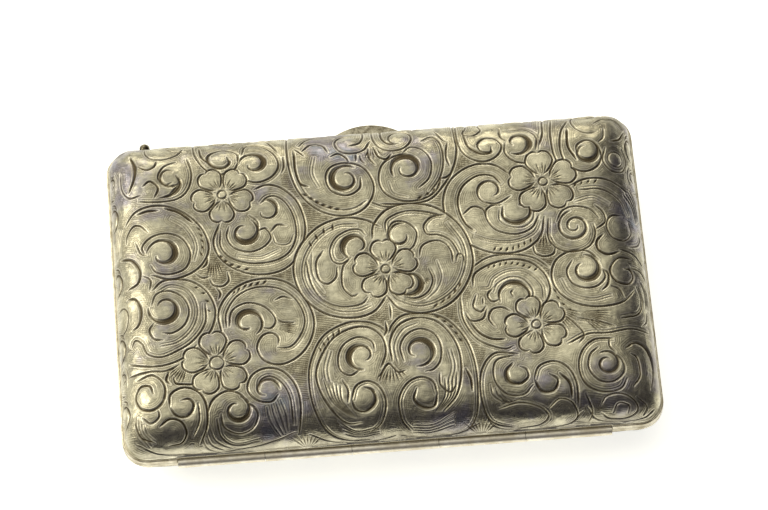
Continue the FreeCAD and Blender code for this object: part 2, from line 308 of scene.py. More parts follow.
def within(outline):
    """The part of the drawing round a closed outline: its two slices, and which places in it are inside."""
    outline = np.asarray(outline)
    x_low, y_low = outline.min(0)
    x_high, y_high = outline.max(0)
    rows, columns, x, y = patch(x_low, x_high, y_low, y_high)
    inside = np.zeros((y.size, x.size), bool)
    for (x0, y0), (x1, y1) in zip(outline, np.roll(outline, -1, 0)):
        slope = (x1 - x0) / (y1 - y0 if y1 != y0 else 1e-9)
        inside ^= ((y0 > y) != (y1 > y)) & (x < x0 + slope * (y - y0))
    return rows, columns, inside


def wipe(outline):
    """Takes away what is drawn inside a closed outline, under what lies over it."""
    rows, columns, inside = within(outline)
    cut[rows, columns][inside] = 0
    dome[rows, columns][inside] = 0
    clear[rows, columns][inside] = uncut


def ground(*outline):
    """Marks ground left between scrolls, which the chaser matted with level lines."""
    rows, columns, inside = within(outline)
    matted[rows, columns][inside] = 1


def flower(x, y, r, first, heart=0.8):
    """Five notched petals round a small button, with short veins in each. first turns the first petal."""
    edge = ((0.24, 0.06), (0.42, 0.27), (0.68, 0.40), (0.92, 0.31), (1.0, 0.12), (0.93, 0))
    petal_veins = ((-0.24, 0.44), (-0.15, 0.54), (-0.07, 0.62), (0.01, 0.50), (0.08, 0.64), (0.16, 0.5),
                   (0.25, 0.42))
    for petal in range(5):
        angle = math.radians(first + 72 * petal)
        out_x, out_y = math.cos(angle), math.sin(angle)

        def on_petal(along, aside):
            return x + r * (along * out_x - aside * out_y), y + r * (along * out_y + aside * out_x)

        wipe([on_petal(along, side * aside) for side in (-1, 1) for along, aside in edge[::side]])
        for side in (-1, 1):
            chase(*[on_petal(along, side * aside) for along, aside in edge], w=0.17, d=0.24)
        boss(*on_petal(0.62, 0), r * 0.34, 0.06)
        for aside, reach in petal_veins:
            ends = [on_petal(0.26, aside * 0.5), on_petal(reach, aside * 1.3)]
            cut_line(flowing(ends), 0.13, 0.2, None, False)
    cut_line(spiral(x, y, heart, heart, 0, 360), 0.14, 0.2)
    boss(x, y, heart, 0.2)


nick_arm = 1.15        # a nick is this much longer and wider than its size and w say, because the ends taper
nick_width = 1.4


def nicks(points, count, angle, size=0.65, w=0.22):
    """Bright wedge cuts in a row along a line, each turned from it by angle."""
    run = flowing(points, 0.1)
    for k in np.linspace(0, len(run) - 2, count).astype(int):
        ahead = run[k + 1] - run[k]
        turned = math.atan2(ahead[1], ahead[0]) + math.radians(angle)
        arm = np.array([math.cos(turned), math.sin(turned)]) * size * nick_arm
        cut_line(np.array([run[k] - arm, run[k], run[k] + arm]), w * nick_width, 0.27, None, False)


def fan(x, y, first, last, r0, r1, count, w=0.15):
    """Wedge cuts that spread from one point."""
    for angle in np.radians(np.linspace(first, last, count)):
        ray = np.array([math.cos(angle), math.sin(angle)])
        run = [(x, y) + ray * r for r in (r0, (r0 + r1) / 2, r1)]
        cut_line(np.array(run), w, 0.26, None, False)


def veins(first, last, count):
    """Fine lines from one curve over to another, as on a leaf."""
    first = np.array(first, float)
    last = np.array(last, float)
    for part in np.linspace(0, 1, count):
        cut_line(flowing(first + (last - first) * part), 0.12, 0.17)


# upper middle pair
scroll(-4.9, 18.4, 1.8, 90, -400, grow=1.35, well=0.42, at=0.55)
chase((-2.1, 18.5), (-2.5, 16.3), (-4.8, 15.1), (-7.4, 16.2), (-8.3, 18.6), (-7.6, 20.7), (-5.6, 21.6),
      (-3, 21.3), (-1, 19.8), (0.1, 17), (-0.4, 14.3), (-2.3, 12), (-5.3, 11.1), (-9, 12), (-12.2, 14.8),
      (-14.2, 19), (-14.9, 25), (-14.6, 33))
chase((-1.4, 13.8), (-4, 12.4), (-7.4, 12.6), (-10.6, 14.4), (-12.7, 17.4), (-13.6, 21.6), (-13.7, 25.6),
      w=0.13, d=0.15)
chase((-13.5, 25.7), (-12.7, 24.9), (-11.9, 23.8), w=0.2, d=0.3)
chase((-13.6, 24.8), (-13.6, 21), (-12.9, 18.2), (-11.5, 17.4), w=0.22, d=0.28)
chase((-12.2, 25), (-10.6, 26.7), (-8.6, 26.3), (-7.6, 24.3), w=0.2, d=0.24)
chase((-12.7, 26.4), (-11.2, 28.5), (-8.6, 29.4), (-6.6, 28.2), w=0.16, twin=0.5)
chase((-7.2, 23.2), (-5.8, 23.8), (-4.5, 22.9), (-3.9, 21.7), w=0.2, d=0.26)
chase((-10.4, 23.5), (-11, 20), (-9.9, 17), w=0.1, d=0.1, twin=0.5)
nicks([(-12.2, 15.8), (-9.4, 13.7), (-6.6, 12.5)], 6, 15, 0.55)
scroll(6.2, 19.7, 1.9, 170, 400, grow=1.3, well=0.45, at=0.6)
chase((6.4, 22.8), (3.8, 22.1), (1.8, 20.5), (1.1, 17.5), (2.2, 14.8), (5, 13.2), (8.6, 13.3), (11.2, 15),
      (12.3, 18))
chase((2.8, 17.2), (3.6, 14.9), (6, 13.9), w=0.12, d=0.12)
chase((5.8, 22.9), (7.2, 24.1), (9.4, 23.2), (10.7, 20.6), (10.1, 17.5), (8, 15.5), w=0.15)
chase((9.2, 25.4), (11.2, 26.4), (12.5, 24.6), (12.9, 21), (12, 17.4), (10, 14.6), w=0.17, twin=-0.4)
chase((15, 33), (15.2, 27), (15.4, 22.5), (14.4, 18.8), (12.4, 15.6), (9.6, 13), (5.2, 12.6), (1, 12.9))
chase((13.9, 24.8), (13.4, 21.6), (13.9, 19.4), w=0.16)
chase((11.6, 17.3), (13, 17.2), (14, 18), w=0.2, d=0.25)
chase((11.8, 28), (13, 25.6), (14, 24.6), w=0.2)
nicks([(11.7, 16), (10.2, 14.6), (8, 13.6)], 4, 10, 0.5)
chase((-1.3, 33), (-1.1, 28.6), (-1.9, 26.2), (-3.7, 25.5), w=0.22, d=0.28)
chase((0.2, 26.6), (-1.3, 24.2), (-4, 23.7), (-5.8, 24.9), (-6.2, 26.9), (-5, 28.5), (-3.6, 28.2), w=0.19)
boss(-4, 26.6, 1.7)
chase((0.6, 33), (0.6, 27.4), (1.6, 24.8), (3.6, 23.6), (6, 24), (7.4, 25.8), (7.2, 27.9), (5.6, 29),
      (3.9, 28.2), (3.4, 26.7), (4.2, 25.5), (5.3, 25.3), w=0.2)
chase((2.2, 33), (2.1, 28), (2.9, 25.8), (4.5, 25), w=0.24, d=0.3)
boss(5.2, 27.1, 1.5)
chase((-2.6, 23.4), (-2.7, 21.9), w=0.2)
chase((-1.9, 23), (-1.7, 22), (-1.1, 21.2), w=0.2)
chase((-0.4, 24.6), (-0.3, 22.4), (0.7, 20.8), w=0.2)
chase((0.6, 24.8), (1.3, 22.6), (2.7, 21.8), (3.7, 22.8), w=0.22, d=0.28)
fan(0.3, 25.8, -110, -60, 1.4, 3.8, 5)
chase((-1, 13.6), (1.5, 12.4), (4, 12.1), w=0.15, twin=-0.5)

# lower middle pair
scroll(-4.6, -16.3, 1.8, -60, 330, grow=1.3, well=0.42, at=0.62)
chase((-2.3, -15.5), (-2.7, -13.7), (-5, -12.7), (-7.5, -13.8), (-8.7, -16), (-8.6, -18.6), (-7, -19.9),
      (-5.2, -19), w=0.15)
chase((-1.5, -18.9), (-0.4, -16), (-0.8, -13), (-3, -11), (-6, -10.9), (-9.3, -12.5), (-11.5, -15.5),
      (-12.8, -19), (-12.2, -22.8), (-10.3, -26.4), (-8, -28.6), (-5.5, -28.6))
chase((0.1, -12.2), (-1.2, -10.9), (-3.5, -9.9), (-7, -9.9), (-11, -12), (-13.3, -16), (-14.1, -20),
      (-13.6, -25.4), (-11.5, -30), (-8, -32.4), (-4, -32.6), twin=0.42)
chase((-9.8, -15), (-10.8, -18.5), (-10.3, -22), w=0.1, d=0.1, twin=-0.6)
chase((-8.4, -20.6), (-7.5, -22.6), (-7.7, -24.8))
nicks([(-8.2, -11.2), (-10.2, -12.6), (-11.8, -14.6)], 5, 60, 0.5)
chase((-7, -24.4), (-6.1, -22), (-4, -21.2), (-2, -22.5), (-1.1, -25.4), (-2.2, -29), (-4.6, -31), twin=-0.5)
chase((-7, -24.4), (-6.4, -26.2), (-4.6, -26.6), (-2.9, -25), (-3.3, -23), (-4.7, -22.3),
      swell=(0.55, 0.2, 0.15))
boss(-4.9, -24.4, 1.6)
chase((7.9, -24.4), (7.3, -22.2), (5.2, -21.2), (2.8, -22.2), (1.2, -25), (1.4, -28.6), (2.8, -31), twin=0.5)
chase((7.9, -24.4), (7.2, -26.6), (5.3, -26.7), (3.8, -25.2), (4.4, -23.2), swell=(0.5, 0.2, 0.15))
boss(5.9, -24.4, 1.6)
fan(0.3, -17.6, -128, -52, 1.6, 4.6, 8)
chase((-1.9, -21.4), (-1.3, -19.7), (-0.1, -18.2), (0.9, -19.3), (1.5, -20), (2.8, -19.7))
scroll(5.3, -16.2, 2.0, 230, -330, grow=1.3, well=0.4, at=0.5)
chase((2.6, -18), (2.2, -15), (3.6, -12.8), (6, -12), (8.4, -13.2), (9.3, -15.8), (8.9, -18.4), (7.6, -19.9),
      (6.2, -20.2), w=0.15)
chase((0.6, -17.8), (0.5, -14), (2.2, -11), (5.5, -9.8), (8.8, -10.7), (11.1, -13.3), (12.4, -17),
      (12.3, -21.5), (11.2, -25), (8.8, -27.6))
chase((1.5, -18.4), (1.2, -14.8), (2.9, -11.9), (5.6, -10.8), w=0.12, d=0.12)
chase((0.4, -12.4), (1.3, -10.6), (3.5, -9.1), (8, -9.3), (11.2, -11), (13.6, -14.4), (14.8, -18.6),
      (15, -24), (14.2, -29.4), (11.6, -32.6), (6, -33), twin=-0.42)
chase((10.4, -16.4), (10.8, -19.6), (9.8, -23), w=0.1, d=0.1, twin=0.6)
chase((8.6, -20.6), (8.6, -22.9), (10.2, -24.4), (11.4, -23), w=0.16)
nicks([(9.2, -9.9), (11.4, -12), (12.9, -14.8)], 5, 20, 0.5)
chase((13.2, -20.2), (13.9, -22.2), (14, -24.4), w=0.22, d=0.26)

# upper left
scroll(-23.4, 9.4, 1.8, 90, 330, grow=1.25, well=0.42, at=0.5)
chase((-22.4, 12.6), (-21, 11.2), (-20.9, 9.6), (-19.7, 9.8), (-18.8, 8), (-20.2, 6.2), (-22.8, 5.4),
      (-25.4, 6.4), (-26.6, 8.6), (-26.1, 10.7), w=0.15)
chase((-27.7, 11.4), (-29, 8), (-28.2, 5), (-26, 2.6), (-22.5, 1), (-18.5, 1), (-15.4, 2.6), (-13.4, 6),
      (-12.6, 10), (-13.7, 14.6), (-16.3, 17.5), (-19, 18.4), (-21.2, 17.6))
chase((-27.6, 10), (-27.8, 7), (-26.2, 4.6), (-23, 3.2), (-19, 3.2), (-16, 4.6), (-14.4, 7.6), (-14.4, 11.2),
      (-15.6, 14.4), (-17.4, 16), (-19, 15.9), (-20.2, 14.8), w=0.16, twin=-0.45)
nicks([(-28, 4.9), (-26.4, 3.3), (-23.4, 2)], 5, 40, 0.5)
scroll(-19.3, 13.3, 1.8, 200, 250, grow=1.05, well=0.25, at=0.8, deep=0.2)
chase((-18.8, 9), (-17.6, 10.3), (-16, 10), w=0.17)
chase((-18.6, 8.6), (-17.9, 6.6), (-15.8, 6.4), (-14.8, 8.2), w=0.12, d=0.14)
chase((-25, 4.6), (-21, 3.9), (-17.4, 5.2), w=0.09, d=0.09, twin=0.4)
chase((-23.7, 23.4), (-23.9, 25.7), (-26.3, 26.9), (-28.6, 26.1), (-29.1, 24.4), (-27.9, 22.8), (-26.2, 22.6),
      (-25.2, 23.6), (-25.6, 24.9), w=0.17, swell=(0.7, 0.2, 0.16))
boss(-26.9, 24.8, 1.5)
chase((-31.6, 33), (-31.6, 28), (-31, 25), (-29.4, 22.3), (-27, 21.2), (-24.6, 21.8), (-23.6, 23.6), w=0.19)
chase((-30.6, 28.6), (-30.2, 25.6), (-28.8, 23.6), w=0.22, d=0.26)
scroll(-21, 23, 1.7, 200, 340, grow=1.3, well=0.42, at=0.42)
chase((-23, 25.2), (-22.2, 27.6), (-19.7, 27.4), (-17.4, 25.2), (-16.5, 22.2), (-17.8, 20), (-20.5, 19),
      (-23, 19.8), twin=0.45)
chase((-16, 20.6), (-15.6, 21.8), (-15.6, 24))
chase((-18.6, 29.4), (-17.4, 27), (-16.6, 25.4), w=0.2)
chase((-27.2, 29), (-25.2, 28.2), (-23.6, 29), w=0.15)

# left side
scroll(-38.1, 6.3, 2.1, 200, 330, grow=1.25, well=0.42, at=0.4)
chase((-40.4, 4.4), (-39.4, 2.8), (-37, 2.2), (-34.2, 3.2), (-33.2, 6), (-34.4, 8.9), (-37, 10.2), (-40, 9.8),
      (-41.8, 8.2), (-41.4, 6.6), w=0.16)
chase((-45, 13.2), (-43, 15.2), (-40, 15.9), (-36.6, 15.5), (-33.2, 13.5), (-30.8, 10.5), (-29.9, 7),
      (-31, 4), (-33.5, 2), (-37, 1.2), (-40.4, 2.4), w=0.19)
chase((-36.4, 13), (-33.8, 11), (-32.4, 7.6), (-33, 4.6), w=0.1, d=0.12, twin=0.45)
chase((-42.4, 14.7), (-40.6, 15), (-38.4, 14.9), w=0.22, d=0.26)
chase((-37.3, 15.2), (-34.8, 14.2), (-32.4, 12), w=0.26, d=0.3)
nicks([(-31.4, 10.6), (-30.9, 8), (-31.3, 5.6)], 5, 35, 0.55, 0.17)
chase((-45, 9.6), (-44.7, 11.2), (-43.3, 12.6), (-42, 12.4), (-40.6, 10.9))
chase((-43, 9.4), (-42.2, 7), (-41, 6.4), w=0.15)
chase((-46.6, 6.9), (-44.2, 6.2), (-42.6, 3.8), (-43, 1.4), (-45.4, 0.6), w=0.19, swell=(0.4, 0.2, 0.15))
chase((-42, 2.6), (-40.6, 1.4), (-41, -0.6), w=0.15)
scroll(-38.4, -4.4, 2.1, 150, -340, grow=1.25, well=0.42, at=0.55)
chase((-40.7, -3.5), (-39.8, -1.5), (-37.6, -1), (-35.1, -2.4), (-34.1, -5), (-35, -7.7), (-37.2, -9.2),
      (-39, -9), w=0.15)
chase((-39.6, -0.9), (-37, 0.1), (-33.8, -1.4), (-32.6, -5), (-33.7, -8.6), (-36.4, -11), (-39.6, -11.6),
      w=0.13, d=0.15, twin=-0.45)
chase((-40.4, -0.6), (-38.2, 1), (-34.2, 0.8), (-31, -1.4), (-29.5, -5.2), (-30.3, -8.8), (-32.2, -11.2))
chase((-31.2, -4), (-31.4, -7.6), (-33.4, -10.6), (-36, -12.4), (-39.4, -13.6), (-42, -12.6), (-43, -10.4),
      (-44.3, -9.4), (-45.2, -10.6), w=0.16, twin=-0.5)
chase((-40.4, -6.9), (-41.4, -8.2), (-40.6, -10), (-39, -10.4))
nicks([(-32.6, -0.8), (-31, -2.6), (-30.6, -5.6)], 4, 50, 0.45, 0.15)
chase((-45.6, -1.2), (-43.8, -1.6), (-42.8, -4), (-43.4, -6.6), (-45, -7.4), w=0.2, swell=(0.5, 0.18, 0.14))
chase((-48.6, -2.6), (-46.6, -2.4), (-45.6, -4.4), (-46.6, -6.8), (-48.6, -7.4), w=0.16)
chase((-46, -13.6), (-42, -15), (-38.6, -15.2), (-35, -13.8), (-33.2, -11.8), w=0.17)
chase((-46.2, -16), (-42, -16), (-39, -16.4), (-36.4, -15.4), w=0.17)

# fan between the left rings
fan(-29.3, 6, -104, -70, 1.6, 5.2, 6)
chase((-30.1, 0.6), (-29.5, -0.6), (-28, -0.9), (-26.8, 0.1), (-26.9, 1.7))
chase((-32.6, 2), (-31.4, 1), (-30, 1.2), w=0.16)
chase((-31.6, 2.8), (-30.6, 3.6), (-30.2, 5.2), w=0.22, d=0.26)
chase((-29, -1.2), (-28.4, -2.2), (-28.8, -3.4), w=0.2, d=0.26)

# upper left corner
scroll(-36, 21.6, 1.7, 60, 250, grow=1.1, well=0.2, at=0.6, deep=0.1)
chase((-34.8, 24.7), (-37, 23.7), (-38.1, 21.6), (-37, 19.9), (-35.7, 20.2))
chase((-34.9, 21.6), (-34.2, 20.2), (-34.9, 18.8), (-36.3, 17.7), (-38.2, 17.3), w=0.16,
      swell=(0.45, 0.34, 0.24))
chase((-32.8, 25.4), (-32.1, 21.6), (-33, 18.5), (-35, 16.9), (-38.4, 16.6), (-42, 17.2), w=0.17, twin=-0.45)
chase((-41, 20.1), (-39.6, 20.9), (-38.2, 19.4), (-39, 17.5), w=0.2, d=0.26)
chase((-38.2, 25.2), (-38.7, 24), (-40.2, 23.5), (-41.8, 24.6), w=0.2, d=0.26)
chase((-43.2, 27.4), (-42.4, 24.6), (-42.6, 22), (-43.8, 19.4), w=0.24, d=0.3, swell=(0.4, 0.2, 0.12))
chase((-45.6, 24), (-45.4, 20.6), (-43.8, 18.4), (-41.4, 18.4), w=0.17)
chase((-40.3, 29.6), (-40.2, 27.6), (-39, 26), (-36.8, 25.6), (-34.6, 26.6), (-33.4, 28.6), w=0.17)
chase((-36.8, 29.8), (-35.4, 28), (-33, 27.4), w=0.16)

# lower left
scroll(-24, -8.3, 1.9, -80, -340, grow=1.25, well=0.42, at=0.42)
chase((-27.3, -8.8), (-26.6, -5.8), (-24, -4.5), (-21.4, -5.2), (-19.8, -6.6), (-19.1, -8.3), (-20, -9.7),
      (-21.6, -9.5), w=0.15)
chase((-28.6, -10.2), (-29, -6), (-27, -2.5), (-23.5, -0.4), (-19, -0.2), (-15.5, -2), (-13.2, -5.5),
      (-12.4, -9), (-13.3, -12.6), (-15.5, -15.4), (-18.7, -16.8), (-21.5, -15.9), (-22.7, -13.4),
      (-21.8, -11.2), (-20.2, -10.6), (-18.9, -11.5), (-19, -13))
chase((-27.8, -9), (-27.6, -6), (-25.5, -3), (-22, -1.6), (-18, -2.2), (-15.2, -4.6), (-14, -8.2),
      (-14.8, -11.2), (-16.8, -13.5), (-19.2, -13.6), w=0.15, twin=0.45)
chase((-19, -4.4), (-17.6, -3.8), (-16, -4.4), w=0.16)
chase((-18.9, -7.8), (-18, -8.7), (-16, -8.9), w=0.14)
fan(-19.6, -9.6, -24, 10, 1.2, 4.4, 6)
nicks([(-26, -2.2), (-24, -1.2), (-20.4, -0.7)], 6, 35, 0.5)
chase((-38.6, -23.2), (-38.3, -20.9), (-36, -19.8), (-33.6, -20.7), (-32.3, -23), (-32.3, -26.8),
      (-33.8, -30.5), w=0.2, d=0.26)
chase((-38.6, -23.2), (-37.6, -24.8), (-36, -25.2), (-34.8, -24.4), (-34.4, -23), (-35.2, -22),
      (-36.6, -22.2), w=0.19, swell=(0.5, 0.1, 0.1))
chase((-33.6, -22.8), (-33.6, -26), (-35, -29), w=0.15)
boss(-36.4, -23.4, 1.6)
scroll(-27, -24.6, 1.6, 90, 340, grow=1.3, well=0.42, at=0.5)
chase((-32.3, -25.2), (-31, -22.5), (-28.6, -21.1), (-26.3, -21.8), (-25, -23.6), (-24, -24.4), (-23.4, -26),
      (-24.6, -28.2), (-27, -29), (-29.4, -27.6), (-29.8, -25.2))
chase((-30.6, -26), (-30, -29.4), (-27.4, -31.4), (-23.4, -30.6), w=0.16, twin=0.5)
scroll(-21.6, -21.4, 1.8, 250, -250, grow=1.1, well=0.2, at=0.5, deep=0.14)
chase((-19.6, -22.4), (-21, -23.7), (-23.4, -23.2), (-24.9, -21), (-23.9, -18.4), (-21.3, -17.3),
      (-18.5, -18.2), (-16.5, -21), (-15.9, -25), (-16.6, -30))
chase((-22.9, -21.3), (-22.5, -19.5), (-20.8, -18.9), (-18.8, -20.3), (-17.6, -23.2), (-17.4, -28), w=0.15,
      twin=0.45)
chase((-44.4, -17.2), (-41.4, -16.8), (-39.3, -19), (-39.7, -22), (-41.8, -23.4), (-44, -22.6), (-45, -20.4),
      (-43.8, -18.6), (-42, -18.8), (-41.4, -20.4), w=0.19, swell=(0.6, 0.14, 0.12))
boss(-42.6, -20.2, 1.8)
chase((-43.8, -24.4), (-42.2, -25.8), (-40.6, -24.8), (-40.8, -23.2))
chase((-40.6, -26.6), (-38.8, -25.4), (-36.8, -26), (-36, -28), (-37, -30), (-39.2, -30.4), w=0.22, d=0.28)
chase((-45.6, -24.6), (-44.4, -28), (-41.6, -29.6), w=0.2, d=0.26)
fan(-34.6, -14.2, 212, 252, 2.0, 5.4, 7)
chase((-38.2, -16.4), (-38.9, -18), (-38.2, -19), w=0.22, d=0.28)
chase((-37.6, -17.6), (-37.2, -18.9), (-35.8, -19.2), (-33.8, -19.4), w=0.2, d=0.26)

# upper right
scroll(20.6, 13.9, 1.9, -60, 320, grow=1.15, well=0.1, at=0.4, deep=0.05)
chase((22.7, 15.2), (21.2, 16.9), (18.6, 17.1), (16, 15.4), (14.8, 13), (14.8, 10.4), (15.7, 7.8),
      (17.2, 6.2), w=0.2, d=0.26, twin=-0.4)
chase((24.4, 17), (22, 18.9), (19, 19.4), (16, 18.4), (13.5, 16.2), (12.2, 13), (12.4, 9.5), (14, 6),
      (15.6, 4), (19, 2), (22.5, 1.3), (26, 2), (28.7, 4.3), (29.7, 8))
chase((19.2, 11.8), (21.6, 11.3), (24.2, 12.6), w=0.16)
scroll(24.9, 9.7, 1.8, 60, -10, grow=1, well=0, deep=0)
chase((22.6, 10.6), (22.4, 8.8), (23.6, 7.5), (25.4, 7.3), (27.1, 8.4), (27.2, 10.2), (25.6, 10.5), w=0.17,
      swell=(0.45, 0.28, 0.2))
chase((21.9, 10), (21.8, 8), (23.4, 6.6), (25.8, 6.3), (27.6, 7.6), (28, 9.6), w=0.12, d=0.14)
chase((22.4, 10.9), (20.8, 11), (19.5, 10), (19.7, 8), (21.3, 5.9), (24.5, 5), (27.3, 6), (28.8, 8.4), w=0.16)
chase((17.2, 5.4), (20, 4.2), (24, 3.8), (27.4, 5.1), (28.7, 7.4), w=0.12, d=0.13, twin=-0.4)
chase((15.4, 9.6), (17.2, 11), (19, 10.4), (19.4, 9), w=0.16)
nicks([(20.4, 2.4), (23.4, 2.2), (27, 3.6)], 7, 60, 0.45, 0.17)
fan(29.4, 6.6, -112, -68, 1.6, 5, 6)
chase((27.2, 2.6), (27.5, 1), (29, 0.2), (30.6, 0.6), (31.1, 1.8))
chase((21.8, 21.6), (19.9, 21.9), (19.2, 23.5), (20.5, 24.9), (22.4, 24.6), (23.5, 22.8), (22.5, 20.8),
      (20, 19.8), (17.3, 21), (15.8, 23.8), (15.6, 28), (15.8, 33))
chase((16.8, 26.6), (17.5, 23.4), (19.4, 21.6), (21.4, 21.6), (21.6, 22.8), swell=(0.55, 0.2, 0.16))
boss(21.2, 23.5, 1.5)
chase((17.6, 33), (17.4, 28.6), (16.8, 26.6), (18.4, 25.8), (20, 27.2), (19.6, 29.4), (19.8, 33), w=0.16)
scroll(26.4, 23.3, 1.7, 210, -330, grow=1.3, well=0.4, at=0.55)
chase((23.4, 27.6), (23.4, 25.2), (24.4, 24), w=0.2)
chase((24.1, 23.4), (24, 21.2), (25.6, 19.4), (28, 18.8), w=0.17)
chase((25.2, 26.6), (28, 26.4), (29.8, 24.4), (29.6, 21.6), w=0.15, twin=0.45)
chase((31.8, 33), (31.2, 28.4), (31, 25), (30.2, 22.4), w=0.2, twin=-0.6)
scroll(38.4, 20.5, 1.7, 100, 330, grow=1.25, well=0.36, at=0.5)
chase((36.7, 20.4), (37, 21.9), (38.8, 22.8), (40.6, 21.6), (41.2, 19.4), (40, 17.2), (37.5, 16.4),
      (34.9, 18), (33.9, 21), (34.3, 25), (35.8, 28.6), w=0.19)
chase((35.5, 26), (35.3, 21.8), (36.6, 18.8), w=0.24, d=0.28)
chase((32.9, 29.6), (32.4, 24), (32.8, 19.6), (34.4, 17.2), w=0.17)
chase((37.2, 31), (36.4, 28.6), (37, 26), (38.8, 24.5), (41, 24.8))
chase((40.4, 27), (42.3, 28.4), (45, 28), (46.8, 25.8), w=0.2, d=0.26, twin=-0.5)
chase((42.2, 25.4), (41.9, 23.4), (40.9, 22.3))
chase((42.1, 21.2), (41.4, 18.6), (42.8, 16.6), (45.2, 16.8), (46.4, 19), (45.6, 21.6))
cut_line(spiral(43.9, 19, 1.5, 1.5, 0, 360), 0.15, 0.2)
boss(43.9, 19, 1.5)
chase((43.2, 22.6), (45.4, 23.4), (46.8, 25.2), w=0.24, d=0.3)
chase((34.9, 13.8), (38, 14.9), (42, 14.6), (45.8, 12.6))
chase((36.4, 12.8), (40.5, 12.7), (43.8, 10.6), (45, 7.8), w=0.14, twin=0.5)
chase((35.4, 10.4), (38.6, 11), (41.4, 9.6), w=0.1, d=0.1, twin=0.5)
nicks([(35.8, 13.9), (37.6, 14.3), (39.6, 14.3)], 4, 50, 0.45, 0.16)
cut_line(spiral(34.9, 5.7, 0.5, 3.1, 0, -620), 0.15, 0.19, (0.55, 0.18, 0.12, 0.2))
boss(34.8, 5.6, 1.1)
chase((31.8, 6.8), (33, 8.9), (35.2, 9.6), (38, 8.8), (39.4, 7), w=0.15)
chase((30.4, 7.6), (30.1, 3.7), (31.8, 1.4), (34.5, 0.7), (37.2, 1.7), (38.4, 4), (38.2, 6), twin=0.4)
chase((38.6, 4.8), (40.4, 6.2), (40.3, 8.1), (38.9, 9.6))
chase((39.8, 3.8), (38.5, 2.5), (38.6, 0.8), (40.2, -0.2), (42.4, 0.4), w=0.22, d=0.28)
chase((43.8, 7.6), (41.6, 7.4), (40.6, 5.4), (41.6, 3.2), (43.8, 2.8), (45.6, 4.4), (45.2, 6.4))
boss(43.4, 5.3, 1.9)
chase((44.6, 1.6), (47.2, 2.6), (48.6, 5), w=0.17, twin=0.5)

# lower right
boss(23, -6.8, 1.6)
chase((20.4, -8), (20.4, -6), (22, -4.5), (24.2, -4.7), (25.6, -6.4), (25.4, -8.6), w=0.17,
      swell=(0.5, 0.3, 0.22))
chase((22.8, -7.2), (22.4, -6.3), (23, -5.8), w=0.15)
chase((19.4, -6), (20.2, -4.4), (22.6, -3.3), (25, -4), (26.3, -6.2), (26, -8.2), w=0.13, d=0.15)
chase((17.2, -5.3), (18.8, -5.2), (19.8, -3.4), (22.4, -2.2), (25.4, -2.6), (27.8, -5.2), (28, -8), w=0.12,
      d=0.13, twin=0.4)
chase((15.9, -4.6), (16.4, -2.2), (19.4, -0.5), (23, 0.1), (26.3, -0.7), (28.6, -3), (29.4, -6), (28.5, -8.5),
      (26.9, -9.8))
chase((15.9, -1), (19, 0.8), (23, 1.1), (27, 0.1), (29.6, -2), w=0.14)
nicks([(19, -1), (23, -0.6), (27.3, -2.2)], 9, 60, 0.4, 0.15)
chase((19.5, -5), (18.3, -6.4), (19, -7.8), (20.4, -7.5), w=0.17)
chase((22.1, -10), (20.7, -9.1), (18.9, -9.3), (18.1, -11), (19.1, -12.8), w=0.17)
chase((16.3, -6.3), (15.6, -8.4), (16.8, -9.6), (17.8, -8.6))
chase((17.4, -7), (17.3, -8.2), w=0.14)
chase((14.1, -9.6), (15, -11.2), (17, -11), (17.9, -9.2), w=0.17)
chase((14.9, -11.6), (16.4, -13.8), (18.4, -15), (20.6, -15.2), w=0.22, d=0.26)
chase((13.5, -7), (13.7, -11), (16, -15), (20, -17), (22, -16.6), w=0.17, twin=-0.45)
chase((14.6, -2.6), (13.6, -6), (13.2, -9), w=0.12, d=0.13)
scroll(35.9, -2.8, 2.0, 120, 330, grow=1.2, well=0.36, at=0.5)
chase((33.8, -0.9), (32.6, -3), (33.4, -5.4), (35.5, -6.5), (37.8, -6.2), (39.3, -4.6), (38.9, -3), w=0.15)
chase((38.5, -1.2), (36.5, 0.7), (33.5, 0.8), (31, -0.6), (29.9, -3.2), (30.3, -5.8), (31.8, -8),
      (34.5, -9.7), (38.2, -10.3), (42, -9.4), (44.8, -6.8))
chase((31.6, -4.4), (33, -7.2), (36.4, -8.6), (40, -8), w=0.11, d=0.12, twin=-0.45)
chase((38.4, -7.2), (39.6, -6), (39.9, -4), (39, -3.2), w=0.2, d=0.25)
chase((40.2, -6.4), (41.6, -7), (42.4, -8.6), w=0.2)
chase((44.6, -0.8), (42, -0.9), (40.3, -3.2), (41.2, -5.4), (43.4, -5.8), (44.8, -4.4), (44.2, -2.9),
      (43, -2.9), swell=(0.7, 0.12, 0.1))
boss(42.5, -3.6, 1.6)
chase((44.4, -2.6), (46.6, -2.8), (48.6, -4.4), w=0.2, d=0.24, twin=0.45)
chase((42.6, 0.9), (45.6, 0.2), (48.4, -1.6), w=0.17)
chase((45.6, -5.8), (46.4, -8.6), (45, -11.4), (41.4, -12.6), w=0.2, d=0.26, twin=-0.5)
nicks([(30.2, -6.6), (31, -8.8), (32.6, -10.6)], 4, 15, 0.6, 0.17)
fan(29.4, -9.6, -62, -18, 1.8, 5.4, 8)
fan(33.6, -11, -50, -2, 1.0, 6.5, 10)
chase((31, -11.2), (33.2, -13.4), (34.4, -15.4), (33.4, -17), w=0.16)
chase((31.4, -17), (35, -15.4), (39, -15.4), (43, -14.6), (47, -14.8), w=0.17, twin=0.5)
chase((33.6, -12.2), (36.6, -13), (40, -14.2), w=0.13, twin=-0.4)
chase((45.4, -13.8), (46.8, -12.6), (47.4, -10.6), w=0.16)
scroll(37.9, -21.2, 1.3, 60, 420, grow=1.5, well=0.24, at=0.5, deep=0.14)
chase((36.6, -18), (35, -19.4), (34.6, -22), (36.2, -24.3), (38.8, -24.6), (40.8, -22.8), (40.5, -20.6),
      (39, -19.4), w=0.16)
